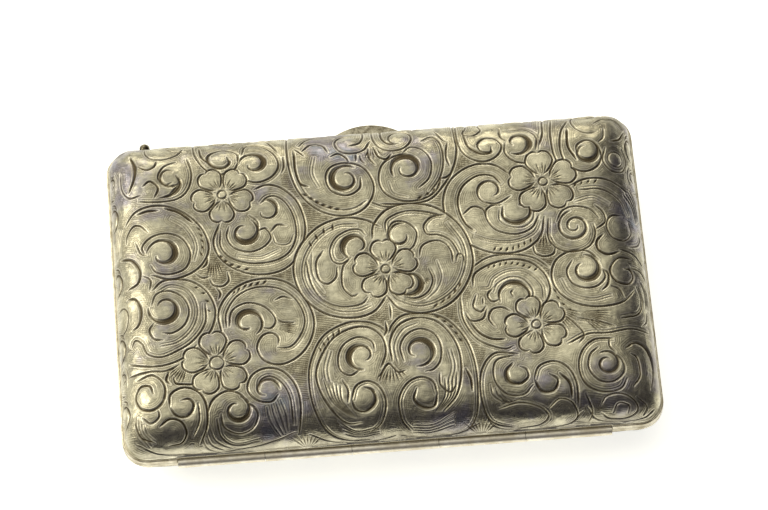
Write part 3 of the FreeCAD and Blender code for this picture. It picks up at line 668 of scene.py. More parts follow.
chase((39.4, -16.6), (36, -16.6), (33.6, -18.8), (32.9, -22), (34, -25), (36.8, -26.4), (39.8, -26),
      (41.2, -24), twin=0.45)
chase((38.7, -16.4), (38.6, -18), (39.6, -19.2))
chase((41.4, -18.4), (43.6, -17.2), (46.2, -18.4), (47.2, -21.6), (46, -26), w=0.2, swell=(0.4, 0.25, 0.2))
chase((42.2, -25.6), (43.8, -23.4), (43.6, -20.2), (42.4, -19.4), w=0.22, d=0.28)
chase((36.1, -28.8), (37.2, -27.2), (39.8, -26.9), (42.2, -28.4), (42.6, -30.4), (40.6, -32), (37.6, -31.8),
      (36.1, -30.2), w=0.19)
chase((38.2, -30.4), (39.2, -28.6), (41, -29.2), (40.8, -30.8), w=0.17)
boss(39.6, -30, 1.3)
chase((42.6, -27.6), (44.6, -29.4), (43.6, -31.6), w=0.17)
chase((21.4, -19.9), (20.2, -21.3), (20.5, -23.2), (22.3, -23.8), (23.9, -22.7), (23.7, -21.2), (22.6, -20.6),
      w=0.17, swell=(0.3, 0.25, 0.2))
boss(22.1, -22, 1.4)
chase((22, -18.4), (18.6, -19.2), (18, -22.6), (19.8, -25.4), (22.8, -25.8), (24.6, -24.2), w=0.14)
chase((22.6, -18.2), (18.4, -17.8), (15.9, -21), (15.5, -26), (17, -30.4), (21, -32.2), twin=0.5)
chase((24.9, -23.2), (25.9, -20.9), (28.5, -20.1), (30.9, -21.4), (32.2, -24.4), (32.2, -28.6), twin=-0.5)
chase((24.9, -23.2), (26, -25.4), (28.2, -25.4), (29, -23.6), (27.6, -22.4), w=0.17, swell=(0.4, 0.16, 0.12))
boss(27, -23.6, 1.5)
chase((29.4, -22.4), (31, -24.4), (31.2, -27), w=0.22, d=0.28)
chase((27, -28.6), (29, -27), (31.2, -27.9), (32, -30.6), (30.6, -32.6))
chase((18.2, -28), (22, -27.2), (25.4, -28.2), (26.9, -30), (25.2, -32), (21, -32.6), twin=0.5)
chase((18.6, -25.6), (19.8, -27), (22.4, -26.4), w=0.15)
chase((33.6, -26.4), (34.6, -29.8), (33.8, -32.8), w=0.17)

# middle medallion, over the rings beside it
medallion_left = [
    (0.6, 8.4), (-2, 10), (-6, 10.7), (-10.5, 9.2), (-14, 5.5), (-15.3, 1), (-14, -4), (-10.5, -7.6),
    (-6, -8.9), (-2, -8.1), (0.6, -5.2),
]
medallion_right = [
    (-1, 6.2), (-0.5, 9), (2, 11.7), (6, 12.6), (11, 11.2), (15, 7), (16.4, 1), (14.8, -4),
    (11.5, -7.6), (7, -9), (3, -8), (0.6, -5),
]
wipe(flowing(medallion_left))
wipe(flowing(medallion_right))
chase(*medallion_left, w=0.2)
chase(*medallion_right, w=0.2)
chase((-3.5, 9.3), (-7, 9.3), (-10.5, 7.4), (-13, 4), (-13.8, 0), (-12.4, -4), (-9, -7), (-5, -7.7),
      (-2.2, -6.9), w=0.13, d=0.15, twin=0.45)
chase((-13, 3.2), (-12.4, -1.5), (-10.6, -5), (-7.5, -6.6), (-4, -6.4), (-2.6, -5.1), w=0.15, d=0.2)
chase((-11.9, 4.5), (-12, 0), (-10.2, -3.6), w=0.1, d=0.1)
scroll(-4.0, 5.0, 1.8, -60, 300, well=0.45, at=0.62)
chase((-2.1, 7), (-3, 8.1), (-5, 8.2), (-7.4, 6.9), (-8.6, 4.6), (-8.2, 2.4), (-6.8, 1.7), (-5.4, 2.5),
      w=0.14, twin=0.5)
chase((-9.8, 4.6), (-11.2, 2.4), (-11, -0.8), (-9.6, -2), (-8, -0.9), (-7.6, 1.2), w=0.16)
chase((-5, 2.9), (-6.6, 1), (-6.9, -2.6), (-5.4, -4.7), (-4.4, -4.4), w=0.16)
nicks([(-7.8, 9), (-10.2, 7.9), (-12, 5.9)], 4, 60)
chase((1.5, 7.2), (1.8, 9.6), (4.6, 11), (8, 10.9), (12, 9.6), w=0.15, twin=-0.5)
chase((12.6, 8.4), (14.8, 4.4), (15.1, 0.5), (13.4, -3.8), (10.2, -6.6), (6.4, -7.6), (3, -6.4), (1.4, -4.7),
      w=0.14, d=0.16, twin=-0.45)
scroll(4.0, 6.4, 1.7, 0, -290, well=0.2, at=0.5, deep=0.12)
chase((2.2, 5.2), (1.9, 7.6), (3.2, 9.2), (5.4, 8.8), (6.9, 7), (6.4, 4.6), (5.2, 3.2), w=0.15)
chase((12.1, 9.9), (9.8, 9.6), (8.3, 8), (8.8, 6.3), (10.8, 6), (12.9, 4.6), (14.2, 1.6), w=0.17, twin=0.45)
chase((7, 2), (7.6, 4), (9.6, 4.9), (11.6, 4.4), (12.7, 2.6), (12.8, 0.4), w=0.15)
chase((13.4, 0.6), (13.8, 1.9), (14.7, 1.7), (14.9, 0.1), w=0.13)
scroll(4.9, -2.9, 1.7, 200, -330, well=0.4, at=0.62)
chase((8.4, -0.4), (9, -2.6), (8, -4.9), (6, -6), (3.8, -5.7), w=0.15, twin=0.4)
chase((10, 1), (10.6, -2), (9.6, -4.6), (7.6, -6.4), w=0.1, d=0.1)
nicks([(13.6, -4), (11.6, -6.2), (9, -7.7)], 5, 20)
fan(7.2, -2.2, -75, -20, 0.3, 1.6, 4)
chase((0.9, -6.8), (1.1, -7.6), (1.0, -9.6), w=0.16)
chase((0, -10.2), (0.1, -11.6), (-0.4, -12.8), w=0.2, d=0.25)

# the five flowers lie over everything beside them
flower(0.9, 0.1, 5.7, 92)
flower(-26.9, 17.1, 5.5, 50)
flower(-29.9, -15.6, 6.0, 96, 1.25)
flower(30.2, 15, 6.1, 95)
flower(26.3, -12.8, 5.5, 107)

# leaves whose veins run down the near shoulder and round the sides
veins([(-19.4, -23.4), (-18.6, -26.2), (-18.4, -29)], [(-21.8, -24.6), (-21.4, -27), (-19.8, -30)], 4)
veins([(-11.6, -20.4), (-10.4, -24.4), (-7.4, -27.4)], [(-8.8, -21.6), (-8.6, -24.6), (-6.6, -27.6)], 5)
veins([(-9.6, -28), (-6.6, -30.2), (-2.8, -29.6)], [(-8.6, -30.6), (-6, -31.6), (-2.6, -31)], 4)
veins([(11.6, -20.8), (10.8, -24.8), (8.2, -27.6)], [(9.4, -21.8), (9.2, -25), (7.4, -27.6)], 4)
veins([(3.4, -29.8), (6.8, -30), (10.6, -28)], [(3.2, -31.4), (6.4, -31.8), (10.4, -30.4)], 4)
veins([(17.2, -23.6), (17.6, -25.6), (19.4, -27.2)], [(18.8, -25), (19.6, -26.2), (21.4, -27)], 3)
veins([(31, -31.6), (35, -32.8), (40, -33.2)], [(31, -33), (35, -33.8), (40, -34)], 3)
veins([(-45.2, -23.4), (-45, -27), (-42.6, -30.4)], [(-43.6, -25.6), (-43, -27.6), (-41.6, -29)], 4)
veins([(-32, -27), (-31, -30), (-28, -32.4)], [(-33.4, -29), (-32.6, -31.6), (-30, -33.4)], 3)
veins([(44.6, 12), (46.6, 10), (47.4, 7)], [(46.4, 13.4), (48, 11), (48.6, 8)], 4)
veins([(46, -4.6), (47.4, -7), (47.2, -10)], [(47.6, -5.4), (48.8, -7.4), (49, -10)], 4)
veins([(-45.6, 12.6), (-46.6, 10), (-46.6, 7.8)], [(-47.4, 13.4), (-48.4, 10), (-48.2, 7.6)], 4)
fan(15.1, -34.2, 55, 125, 1.0, 5.2, 8, 0.16)
fan(-15.2, -34.2, 55, 125, 1.0, 4.6, 7, 0.16)

# long lines that close the rings along the near wall
chase((-45.6, -29), (-41, -32.2), (-35, -33.2), (-28, -32.8), (-21, -31), (-17, -29.4), w=0.15)
chase((-14.8, -30), (-10, -32.8), (-4, -33.3), (0.4, -31.8), w=0.13)
chase((0.6, -31.8), (4.6, -33.3), (10.4, -33), (14.8, -30.4), w=0.13)
chase((15.6, -28), (17.4, -31.4), (21, -33.2), (26, -33.4), (30.4, -32.4), (33, -29.6), w=0.15)
chase((33.6, -28.6), (35.4, -31.8), (39.4, -33.2), (43.4, -32.4), (46.4, -29.4), w=0.14)

# matted ground between the rings
ground((-12.6, 10), (-13.4, 14), (-12.2, 14.4), (-9, 11.7), (-6, 10.9), (-10.5, 9.4), (-12.8, 7.2))
ground((-5, 11), (-2.3, 11.8), (-0.6, 13.6), (1, 12.7), (4, 12.4), (1.6, 11.6), (-0.4, 9.6), (-2, 10.2))
ground((8, 12.4), (9.6, 12.8), (12.2, 15), (12.1, 12.6), (12.3, 9.6), (11, 11.4))
ground((14, 6), (15.6, 3.8), (19, 1.8), (22.5, 1.2), (19, 0.9), (16, -0.9), (15.8, -2.6), (16.4, 1),
       (15, 5.6))
ground((11.5, -7.8), (14.8, -4.4), (15.4, -6.4), (13.7, -9), (13.7, -13.6), (11.2, -10.8), (8, -9.2))
ground((-10.5, -7.8), (-14, -4.2), (-13, -6), (-12.3, -9), (-13.2, -12.4), (-13.2, -15), (-11, -11.8),
       (-7, -9.7))
ground((-2, -8.4), (0.6, -6.2), (3, -8.2), (3.4, -8.9), (1.2, -10.4), (0.3, -12), (-1.2, -10.8), (-3.4, -9.7))
ground((-22.5, 0.8), (-18.5, 0.8), (-15.6, 2.2), (-15.2, -1.4), (-16, -1.6), (-19, 0), (-23.5, -0.2))
ground((-29.6, -5), (-31, -1.2), (-33.5, 1.4), (-30.8, 3.6), (-29.8, 6.4), (-28.4, 5), (-26.2, 2.4),
       (-22.8, 0.8), (-23.6, -0.3), (-27, -2.3), (-28.9, -5.6))
ground((29.8, 7.8), (28.8, 4.2), (26.2, 1.8), (22.8, 1), (23, 0.2), (26.6, -0.6), (28.8, -2.8), (29.5, -5.2),
       (29.8, -3.2), (31, -0.4), (33.4, 1), (31.6, 1.4), (30, 3.6))
ground((-12.6, 15.4), (-14.3, 19), (-15, 24.6), (-15.6, 24.6), (-16.4, 21.6), (-16.1, 17.6), (-13.8, 15))
ground((14.6, 18.8), (15.6, 22.6), (15.9, 22.6), (17.2, 20.8), (19, 19.6), (16, 18.6), (13.4, 16.4))
ground((-13.3, -13), (-15.6, -15.6), (-18.4, -17), (-16.6, -20.6), (-15.8, -24), (-13.8, -24), (-14.3, -20))
ground((13.8, -14.2), (15.6, -15.6), (17.2, -16.4), (16, -20.4), (15.4, -24.6), (15.2, -24), (15, -18.6))

# curls that carry the chasing over the shoulders and down to the wires, all the way round
def border_curl(x, y, across_x, across_y, hand):
    """A curl and its leaf on the shoulder. across points along the edge; hand turns the curl over."""
    def beside(along, off):
        return x + along * across_x - off * hand * across_y, y + along * across_y + off * hand * across_x

    chase(beside(-2.9, -0.9), beside(-2.2, 1.0), beside(-0.2, 1.7), beside(1.5, 0.7), beside(1.3, -0.8),
          beside(0.1, -1.2), beside(-0.6, -0.3), w=0.17, d=0.24, swell=(0.45, 0.16, 0.1))
    boss(*beside(0.1, 0.1), 1.0, 0.1)
    chase(beside(1.2, 1.6), beside(2.4, 0.9), beside(3.0, -0.6), d=0.24)
    chase(beside(-1.6, -1.6), beside(0.4, -2.1), beside(2.3, -1.5), w=0.13, d=0.18)
    fan(*beside(2.3, 0.2), 200, 330, 0.3, 1.3, 4)


def free(x, y):
    """How far the metal within 1 mm of a place is from the nearest cut."""
    return np.min(clear[patch(x - 1, x + 1, y - 1, y + 1)[:2]])


edge_x = 48.6
edge_y = 31.4
long_count = 13
long_pitch = 6.6
long_room = 0.8
short_count = 8
short_pitch = 6.4
short_room = 0.6
for side in (-1, 1):
    for k in range(long_count):
        place = (k - (long_count - 1) / 2) * long_pitch
        if free(place, side * edge_y) > long_room:
            border_curl(place, side * edge_y, 1, 0, 1 if k % 2 else -1)
    for k in range(short_count):
        place = (k - (short_count - 1) / 2) * short_pitch
        if free(side * edge_x, place) > short_room:
            border_curl(side * edge_x, place, 0, 1, 1 if k % 2 else -1)


# ---------------------------------------------------------------- the two pans
# Sterling sheet 0.7 mm thick: a flat panel, a quarter-ellipse shoulder and a short upright wall, chased
# outside and gilt inside. The chasing is cut and pressed into the mesh itself.
pan_low, pan_high = (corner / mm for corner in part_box("lid_shell"))
mouth_mm = mouth / mm
seam = pan_low.z - mouth_mm
shoulder_run = 9.0
wall_height = 1.5
shoulder_rise = pan_high.z - mouth_mm - wall_height
panel_x = pan_high.x - shoulder_run
panel_y = pan_high.y - shoulder_run
panel_corner = 3.1
wall_corner = 4.25
sheet = 0.7
wire_height = 1.1

# how far along the shoulder each part of its quarter ellipse lies, from the panel's edge
turn = np.linspace(0, math.pi / 2, 400)
out_from_panel = shoulder_run * np.sin(turn)
down_shoulder = shoulder_rise * np.cos(turn)
along_shoulder = np.r_[0, np.cumsum(np.hypot(np.diff(out_from_panel), np.diff(down_shoulder)))]
shoulder_length = along_shoulder[-1]
skirt = shoulder_length + wall_height
whole_x = panel_x + skirt
whole_y = panel_y + skirt


def unrolled(plan, panel):
    """Where a plan coordinate lies on the unrolled drawing."""
    past = np.clip(np.abs(plan) - panel, 0, shoulder_run)
    return np.sign(plan) * (np.minimum(np.abs(plan), panel) + np.interp(past, out_from_panel, along_shoulder))


def skin(a, b, foot, inset=0.0):
    """Points, normals and drawing coordinates of the pan's outer skin, or of one inset from it.

    a and b are places on the unrolled sheet. foot gives how high above the mouth the wall ends at x, y. The
    last of what it returns is how far down the wall each place is, from 0 to 1."""
    square_x = panel_x - panel_corner
    square_y = panel_y - panel_corner
    past_x = np.abs(a) - square_x
    past_y = np.abs(b) - square_y
    level = np.maximum(np.maximum(past_x, past_y), 0)
    to_side = past_x >= past_y
    beyond = np.clip(level - panel_corner, 0, None)
    out = np.interp(beyond, along_shoulder, out_from_panel)
    angle = np.interp(beyond, along_shoulder, turn)
    radius = np.where(level < panel_corner, level,
                      panel_corner + (wall_corner - panel_corner) * out / shoulder_run)
    centre_x = np.where(level < panel_corner, square_x, panel_x + out - radius)
    centre_y = np.where(level < panel_corner, square_y, panel_y + out - radius)

    # along each ring: straight to the corner, then round it to the diagonal
    aside = np.where(to_side, np.abs(b), np.abs(a))
    straight = np.where(to_side, centre_y, centre_x)
    ring = np.where(to_side, square_y, square_x) + level
    place = aside * (straight + radius * math.pi / 4) / ring
    bend = np.clip((place - straight) / np.maximum(radius, 1e-9), 0, math.pi / 4)
    lean_x = np.where(to_side, np.cos(bend), np.sin(bend))
    lean_y = np.where(to_side, np.sin(bend), np.cos(bend))
    short = np.minimum(place, straight)
    x = np.where(to_side, centre_x, short) + radius * lean_x
    y = np.where(to_side, short, centre_y) + radius * lean_y
    inner = level <= 0
    x = np.where(inner, np.abs(a), x) * np.sign(a)
    y = np.where(inner, np.abs(b), y) * np.sign(b)
    lean_x = lean_x * np.sign(a)
    lean_y = lean_y * np.sign(b)

    steep = np.stack([np.sin(angle) / shoulder_run, np.cos(angle) / shoulder_rise])
    steep /= np.hypot(*steep)
    on_skirt = np.clip((beyond - shoulder_length) / wall_height, 0, 1)
    z = wall_height + shoulder_rise * np.cos(angle)
    z = np.where(on_skirt > 0, wall_height - (wall_height - foot(x, y)) * on_skirt, z)
    normal = np.stack([lean_x * steep[0], lean_y * steep[0], steep[1]], -1)
    point = np.stack([x, y, z], -1) - normal * inset
    draw_x = unrolled(x, panel_x) + on_skirt * wall_height * lean_x
    draw_y = unrolled(y, panel_y) + on_skirt * wall_height * lean_y
    return point, normal, draw_x, draw_y, on_skirt


def read_drawing(field, x, y):
    """The drawing's value at each x, y, blended between its four nearest places."""
    column = np.clip((x + draw_half_x) / draw_step, 0, across - 1.001)
    row = np.clip((y + draw_half_y) / draw_step, 0, upward - 1.001)
    j, i = column.astype(int), row.astype(int)
    s, t = column - j, row - i
    return ((field[i, j] * (1 - s) + field[i, j + 1] * s) * (1 - t)
            + (field[i + 1, j] * (1 - s) + field[i + 1, j + 1] * s) * t)


def cloud(size, seed):
    """Soft random patches over the drawing, about size mm across, from 0 to 1."""
    chance = np.random.default_rng(seed)
    rows = int(2 * draw_half_y / size) + 3
    columns = int(2 * draw_half_x / size) + 3
    knots = chance.random((rows, columns))
    i, s = np.divmod(np.arange(upward) * draw_step / size, 1)
    j, t = np.divmod(np.arange(across) * draw_step / size, 1)
    i, j = i.astype(int), j.astype(int)
    s, t = (3 * s ** 2 - 2 * s ** 3)[:, None], (3 * t ** 2 - 2 * t ** 3)[None, :]
    low = knots[i][:, j] * (1 - t) + knots[i][:, j + 1] * t
    high = knots[i + 1][:, j] * (1 - t) + knots[i + 1][:, j + 1] * t
    return low * (1 - s) + high * s


def fade_in(values, start, width):
    """0 up to start, rising to 1 over width."""
    return np.clip((values - start) / width, 0, 1)


def fade_out(values, end, width):
    """1 at first, falling to 0 at end over width."""
    return np.clip((end - values) / width, 0, 1)


def lines(distance, pitch):
    """Fine lines at this pitch, 1 at the middle of each and 0 between them."""
    return (0.5 + 0.5 * np.cos(2 * math.pi * distance / pitch)) ** 2


def past_panel(x, y):
    """How far a place on the drawing is past the panel's edge."""
    return np.maximum(np.abs(x) - panel_x, np.abs(y) - panel_y)


# fine hatching: lines that follow the nearest cut, worn away in patches, and nearly level lines over all the
# matted ground and in patches elsewhere; little of either is left on the domes
hatch_pitch = 0.36
ground_pitch = 0.42
ground_tilt = 0.22
hatch_cut = 0.07
follow = lines(clear - hatch_pitch, hatch_pitch)
follow *= fade_in(clear, 0.2, 0.15) * fade_out(clear, 1.65, 0.4)
follow *= fade_in(cloud(2.2, 11), 0.22, 0.2)
grid_x = (np.arange(across) * draw_step - draw_half_x)[None, :]
grid_y = (np.arange(upward) * draw_step - draw_half_y)[:, None]
level = lines(grid_y + ground_tilt * grid_x, ground_pitch)
level = level * fade_in(clear, 0.25, 0.15)
level = level * np.maximum(fade_in(cloud(3.5, 5), 0.52, 0.12) * 0.7, matted * 1.25)
hatch = np.maximum(follow * 0.9, level) * (1 - fade_in(dome, 0, 0.05) * 0.6)

# each cut throws up a burr, raised in the mesh; the same band beside each cut is also painted pale, partly
# the burr rubbed bright and partly a painted highlight
burr_height = 0.035
burr_and_painted_highlight = np.exp(-((clear - 0.20) / 0.11) ** 2) * (0.35 + 0.65 * cloud(0.9, 21))

# brown creeps out of each cut over the metal beside it, and stays on the matted ground
creep = 0.34 * np.exp(-(clear / 0.55) ** 2) * (0.3 + 0.7 * cloud(1.6, 33))
creep = np.maximum(creep, 0.24 * matted * (0.4 + 0.6 * cloud(0.8, 41)))

# the metal swells between the cuts, is a little uneven all over, and more so where it was beaten over the
# shoulder; its proudest places lie on the plain skin and all else under it
swell_height = 0.11
swell_width = 0.45
dome_share = 0.45
cut_share = 0.85
swelling = swell_height * (1 - np.exp(-(clear / swell_width) ** 1.2))
hammered = 0.045 * (cloud(1.4, 3) - 0.5) + 0.03 * (cloud(0.5, 8) - 0.5)
over_shoulder = fade_in(past_panel(grid_x, grid_y), -1, 4)
hammered = hammered - over_shoulder * (0.15 * cloud(3.2, 17) + 0.05 * cloud(1.1, 19))
proudest = swell_height + 0.2 * dome_share * 0.5

full_groove = 0.26        # a cut as deep as this is black to the bottom
painted_reflection_reach = 5.0         # how far up from the mouth the wall is painted pale, a painted reflection of the table
every = 4                 # the plain inside has one row for this many of the outside


def chased_pan(name, step, foot_outside, foot_inside, mirrored):
    """A closed mesh of one pan: the chased skin, the plain inside and the rim that joins their edges.

    step is from one row of the skin to the next. The feet give how high above the mouth the wall ends,
    outside and inside. mirrored turns the pan over, under the mouth."""
    count_a = int(2 * whole_x / step / every) * every + 1
    count_b = int(2 * whole_y / step / every) * every + 1
    a, b = np.meshgrid(np.linspace(-whole_x, whole_x, count_a), np.linspace(-whole_y, whole_y, count_b))
    point, normal, draw_x, draw_y, on_skirt = skin(a, b, foot_outside)
    groove = read_drawing(np.maximum(cut * cut_share, hatch * hatch_cut), draw_x, draw_y)
    raised = read_drawing(swelling + dome * dome_share + hammered + burr_and_painted_highlight * burr_height, draw_x, draw_y)
    fade = np.clip(1 - on_skirt * wall_height / (wall_height - wire_height), 0, 1)
    height = np.minimum(raised - groove - proudest, 0) * fade
    outer = point + normal * height[..., None]
    a_in, b_in = a[::every, ::every], b[::every, ::every]
    inner = skin(a_in, b_in, foot_inside, sheet)[0]

    def border(rows, columns, start):
        """Numbers of the vertices round the edge of a grid, in order, and of all its vertices."""
        grid = np.arange(rows * columns).reshape(rows, columns) + start
        return np.r_[grid[0, :-1], grid[:-1, -1], grid[-1, :0:-1], grid[:0:-1, 0]], grid

    outer_ring, outer_grid = border(count_b, count_a, 0)
    inner_ring, inner_grid = border(*inner.shape[:2], outer_grid.size)
    points = np.vstack([outer.reshape(-1, 3), inner.reshape(-1, 3)])
    points[:, 2] = mouth_mm - points[:, 2] if mirrored else mouth_mm + points[:, 2]

    def quads(grid):
        return np.stack([grid[:-1, :-1], grid[:-1, 1:], grid[1:, 1:], grid[1:, :-1]], -1).reshape(-1, 4)

    faces = quads(outer_grid)
    lining = quads(inner_grid)[:, ::-1]
    bays = len(inner_ring)
    ends = np.arange(bays)
    rim = np.stack([outer_ring[(ends * every + k) % len(outer_ring)] for k in range(every, -1, -1)]
                   + [inner_ring, np.roll(inner_ring, -1)], -1)
    if mirrored:
        faces, lining, rim = faces[:, ::-1], lining[:, ::-1], rim[:, ::-1]
    corners = np.r_[faces.ravel(), lining.ravel(), rim.ravel()]
    sizes = np.r_[np.full(len(faces) + len(lining), 4), np.full(len(rim), every + 3)]

    mesh = bpy.data.meshes.new(name)
    mesh.vertices.add(len(points))
    mesh.vertices.foreach_set("co", (points * mm).astype(np.float32).ravel())
    mesh.loops.add(len(corners))
    mesh.loops.foreach_set("vertex_index", corners.astype(np.int32))
    mesh.polygons.add(len(sizes))
    mesh.polygons.foreach_set("loop_start", (np.cumsum(sizes) - sizes).astype(np.int32))
    sharp = np.zeros(len(sizes), bool)
    sharp[-len(rim):] = True
    mesh.update(calc_edges=True)
    mesh.shade_smooth()
    flat = mesh.attributes.get("sharp_face") or mesh.attributes.new("sharp_face", "BOOLEAN", "FACE")
    flat.data.foreach_set("value", sharp)

    # marks for the finish: how dirty a place is, how rubbed it is together with its painted highlight and
    # painted reflection, whether it is inside, and whether it is steep
    def mark(key, outside, inside):
        values = np.r_[outside.ravel(), np.full(inner_grid.size, inside)]
        mesh.attributes.new(key, "FLOAT", "POINT").data.foreach_set("value", values.astype(np.float32))

    dirt = read_drawing(np.maximum(cut / full_groove, hatch * 0.5 + creep), draw_x, draw_y) * fade
    # painted reflection: the wall is painted pale for its last 5 mm above the mouth, full at the mouth,
    # standing for the bright table it mirrors
    painted_table_reflection = np.clip(1 - (skirt - past_panel(draw_x, draw_y)) / painted_reflection_reach, 0, 1)
    mark("groove", dirt, 0.0)
    mark("rubbed_and_painted_sheen", np.maximum(read_drawing(burr_and_painted_highlight, draw_x, draw_y) * fade, painted_table_reflection), 0.0)
    mark("gilt", np.zeros(outer_grid.size), 1.0)
    mark("shoulder", fade_in(past_panel(draw_x, draw_y), -3, 9), 0.0)

    # the unrolled sheet is also its map: the outside below, the inside above it at a smaller scale, and the
    # rim's bays in rows beside that
    margin = 0.01
    scale = 0.98 / (2 * whole_x)
    inner_scale = scale * 0.43
    inner_foot = 0.69
    rim_left, rim_foot = 0.47, 0.72
    rim_rows = 8
    rim_long, rim_apart, rim_tall = 0.5, 0.03, 0.02
    map_outer = np.stack([0.5 + a * scale, margin + (b + whole_y) * scale], -1).reshape(-1, 2)
    map_inner = np.stack([margin + (a_in + whole_x) * inner_scale,
                          inner_foot + (b_in + whole_y) * inner_scale], -1)
    places = np.vstack([map_outer, map_inner.reshape(-1, 2)])[corners]
    steps = np.r_[np.arange(every, -1, -1) / every, 0, 1]
    beside = np.r_[np.zeros(every + 1), 1, 1]
    if mirrored:
        steps, beside = steps[::-1], beside[::-1]
    row_bays = bays // rim_rows + 1
    run = (ends[:, None] % row_bays + steps) / row_bays
    row = (ends // row_bays)[:, None]
    map_rim = np.stack([rim_left + run * rim_long,
                        rim_foot + row * rim_apart + beside[None, :] * rim_tall], -1)
    places[len(corners) - rim.size:] = map_rim.reshape(-1, 2)
    chart = mesh.uv_layers.new(name="OFBake")
    chart.data.foreach_set("uv", places.astype(np.float32).ravel())
    pan = bpy.data.objects.new(name, mesh)
    bpy.context.collection.objects.link(pan)
    return pan


# along the hinge both walls stop short of it, and the base's wall stops short of the push-piece too;
# cut_foot is how far above the mouth they end there
lid_step = 0.12
base_step = 0.19
hinge_end = 38.1
slot_end = 7.3
cut_foot = 0.95


def at_hinge(x, y):
    return (y < 0) & (np.abs(x) < hinge_end)


def at_slot(x, y):
    return (y > 0) & (np.abs(x) < slot_end)


lid_pan = chased_pan(
    "lid_pan", lid_step,
    lambda x, y: np.where(at_hinge(x, y), cut_foot, seam),
    lambda x, y: np.full(x.shape, seam),
    False,
)
base_pan = chased_pan(
    "base_pan", base_step,
    lambda x, y: np.where(at_hinge(x, y) | at_slot(x, y), cut_foot, seam),
    lambda x, y: np.where(at_slot(x, y), cut_foot, seam),
    True,
)


def noise_scale(size):
    """The scale of a noise whose patches are about size mm across."""
    return 1 / (size * mm)


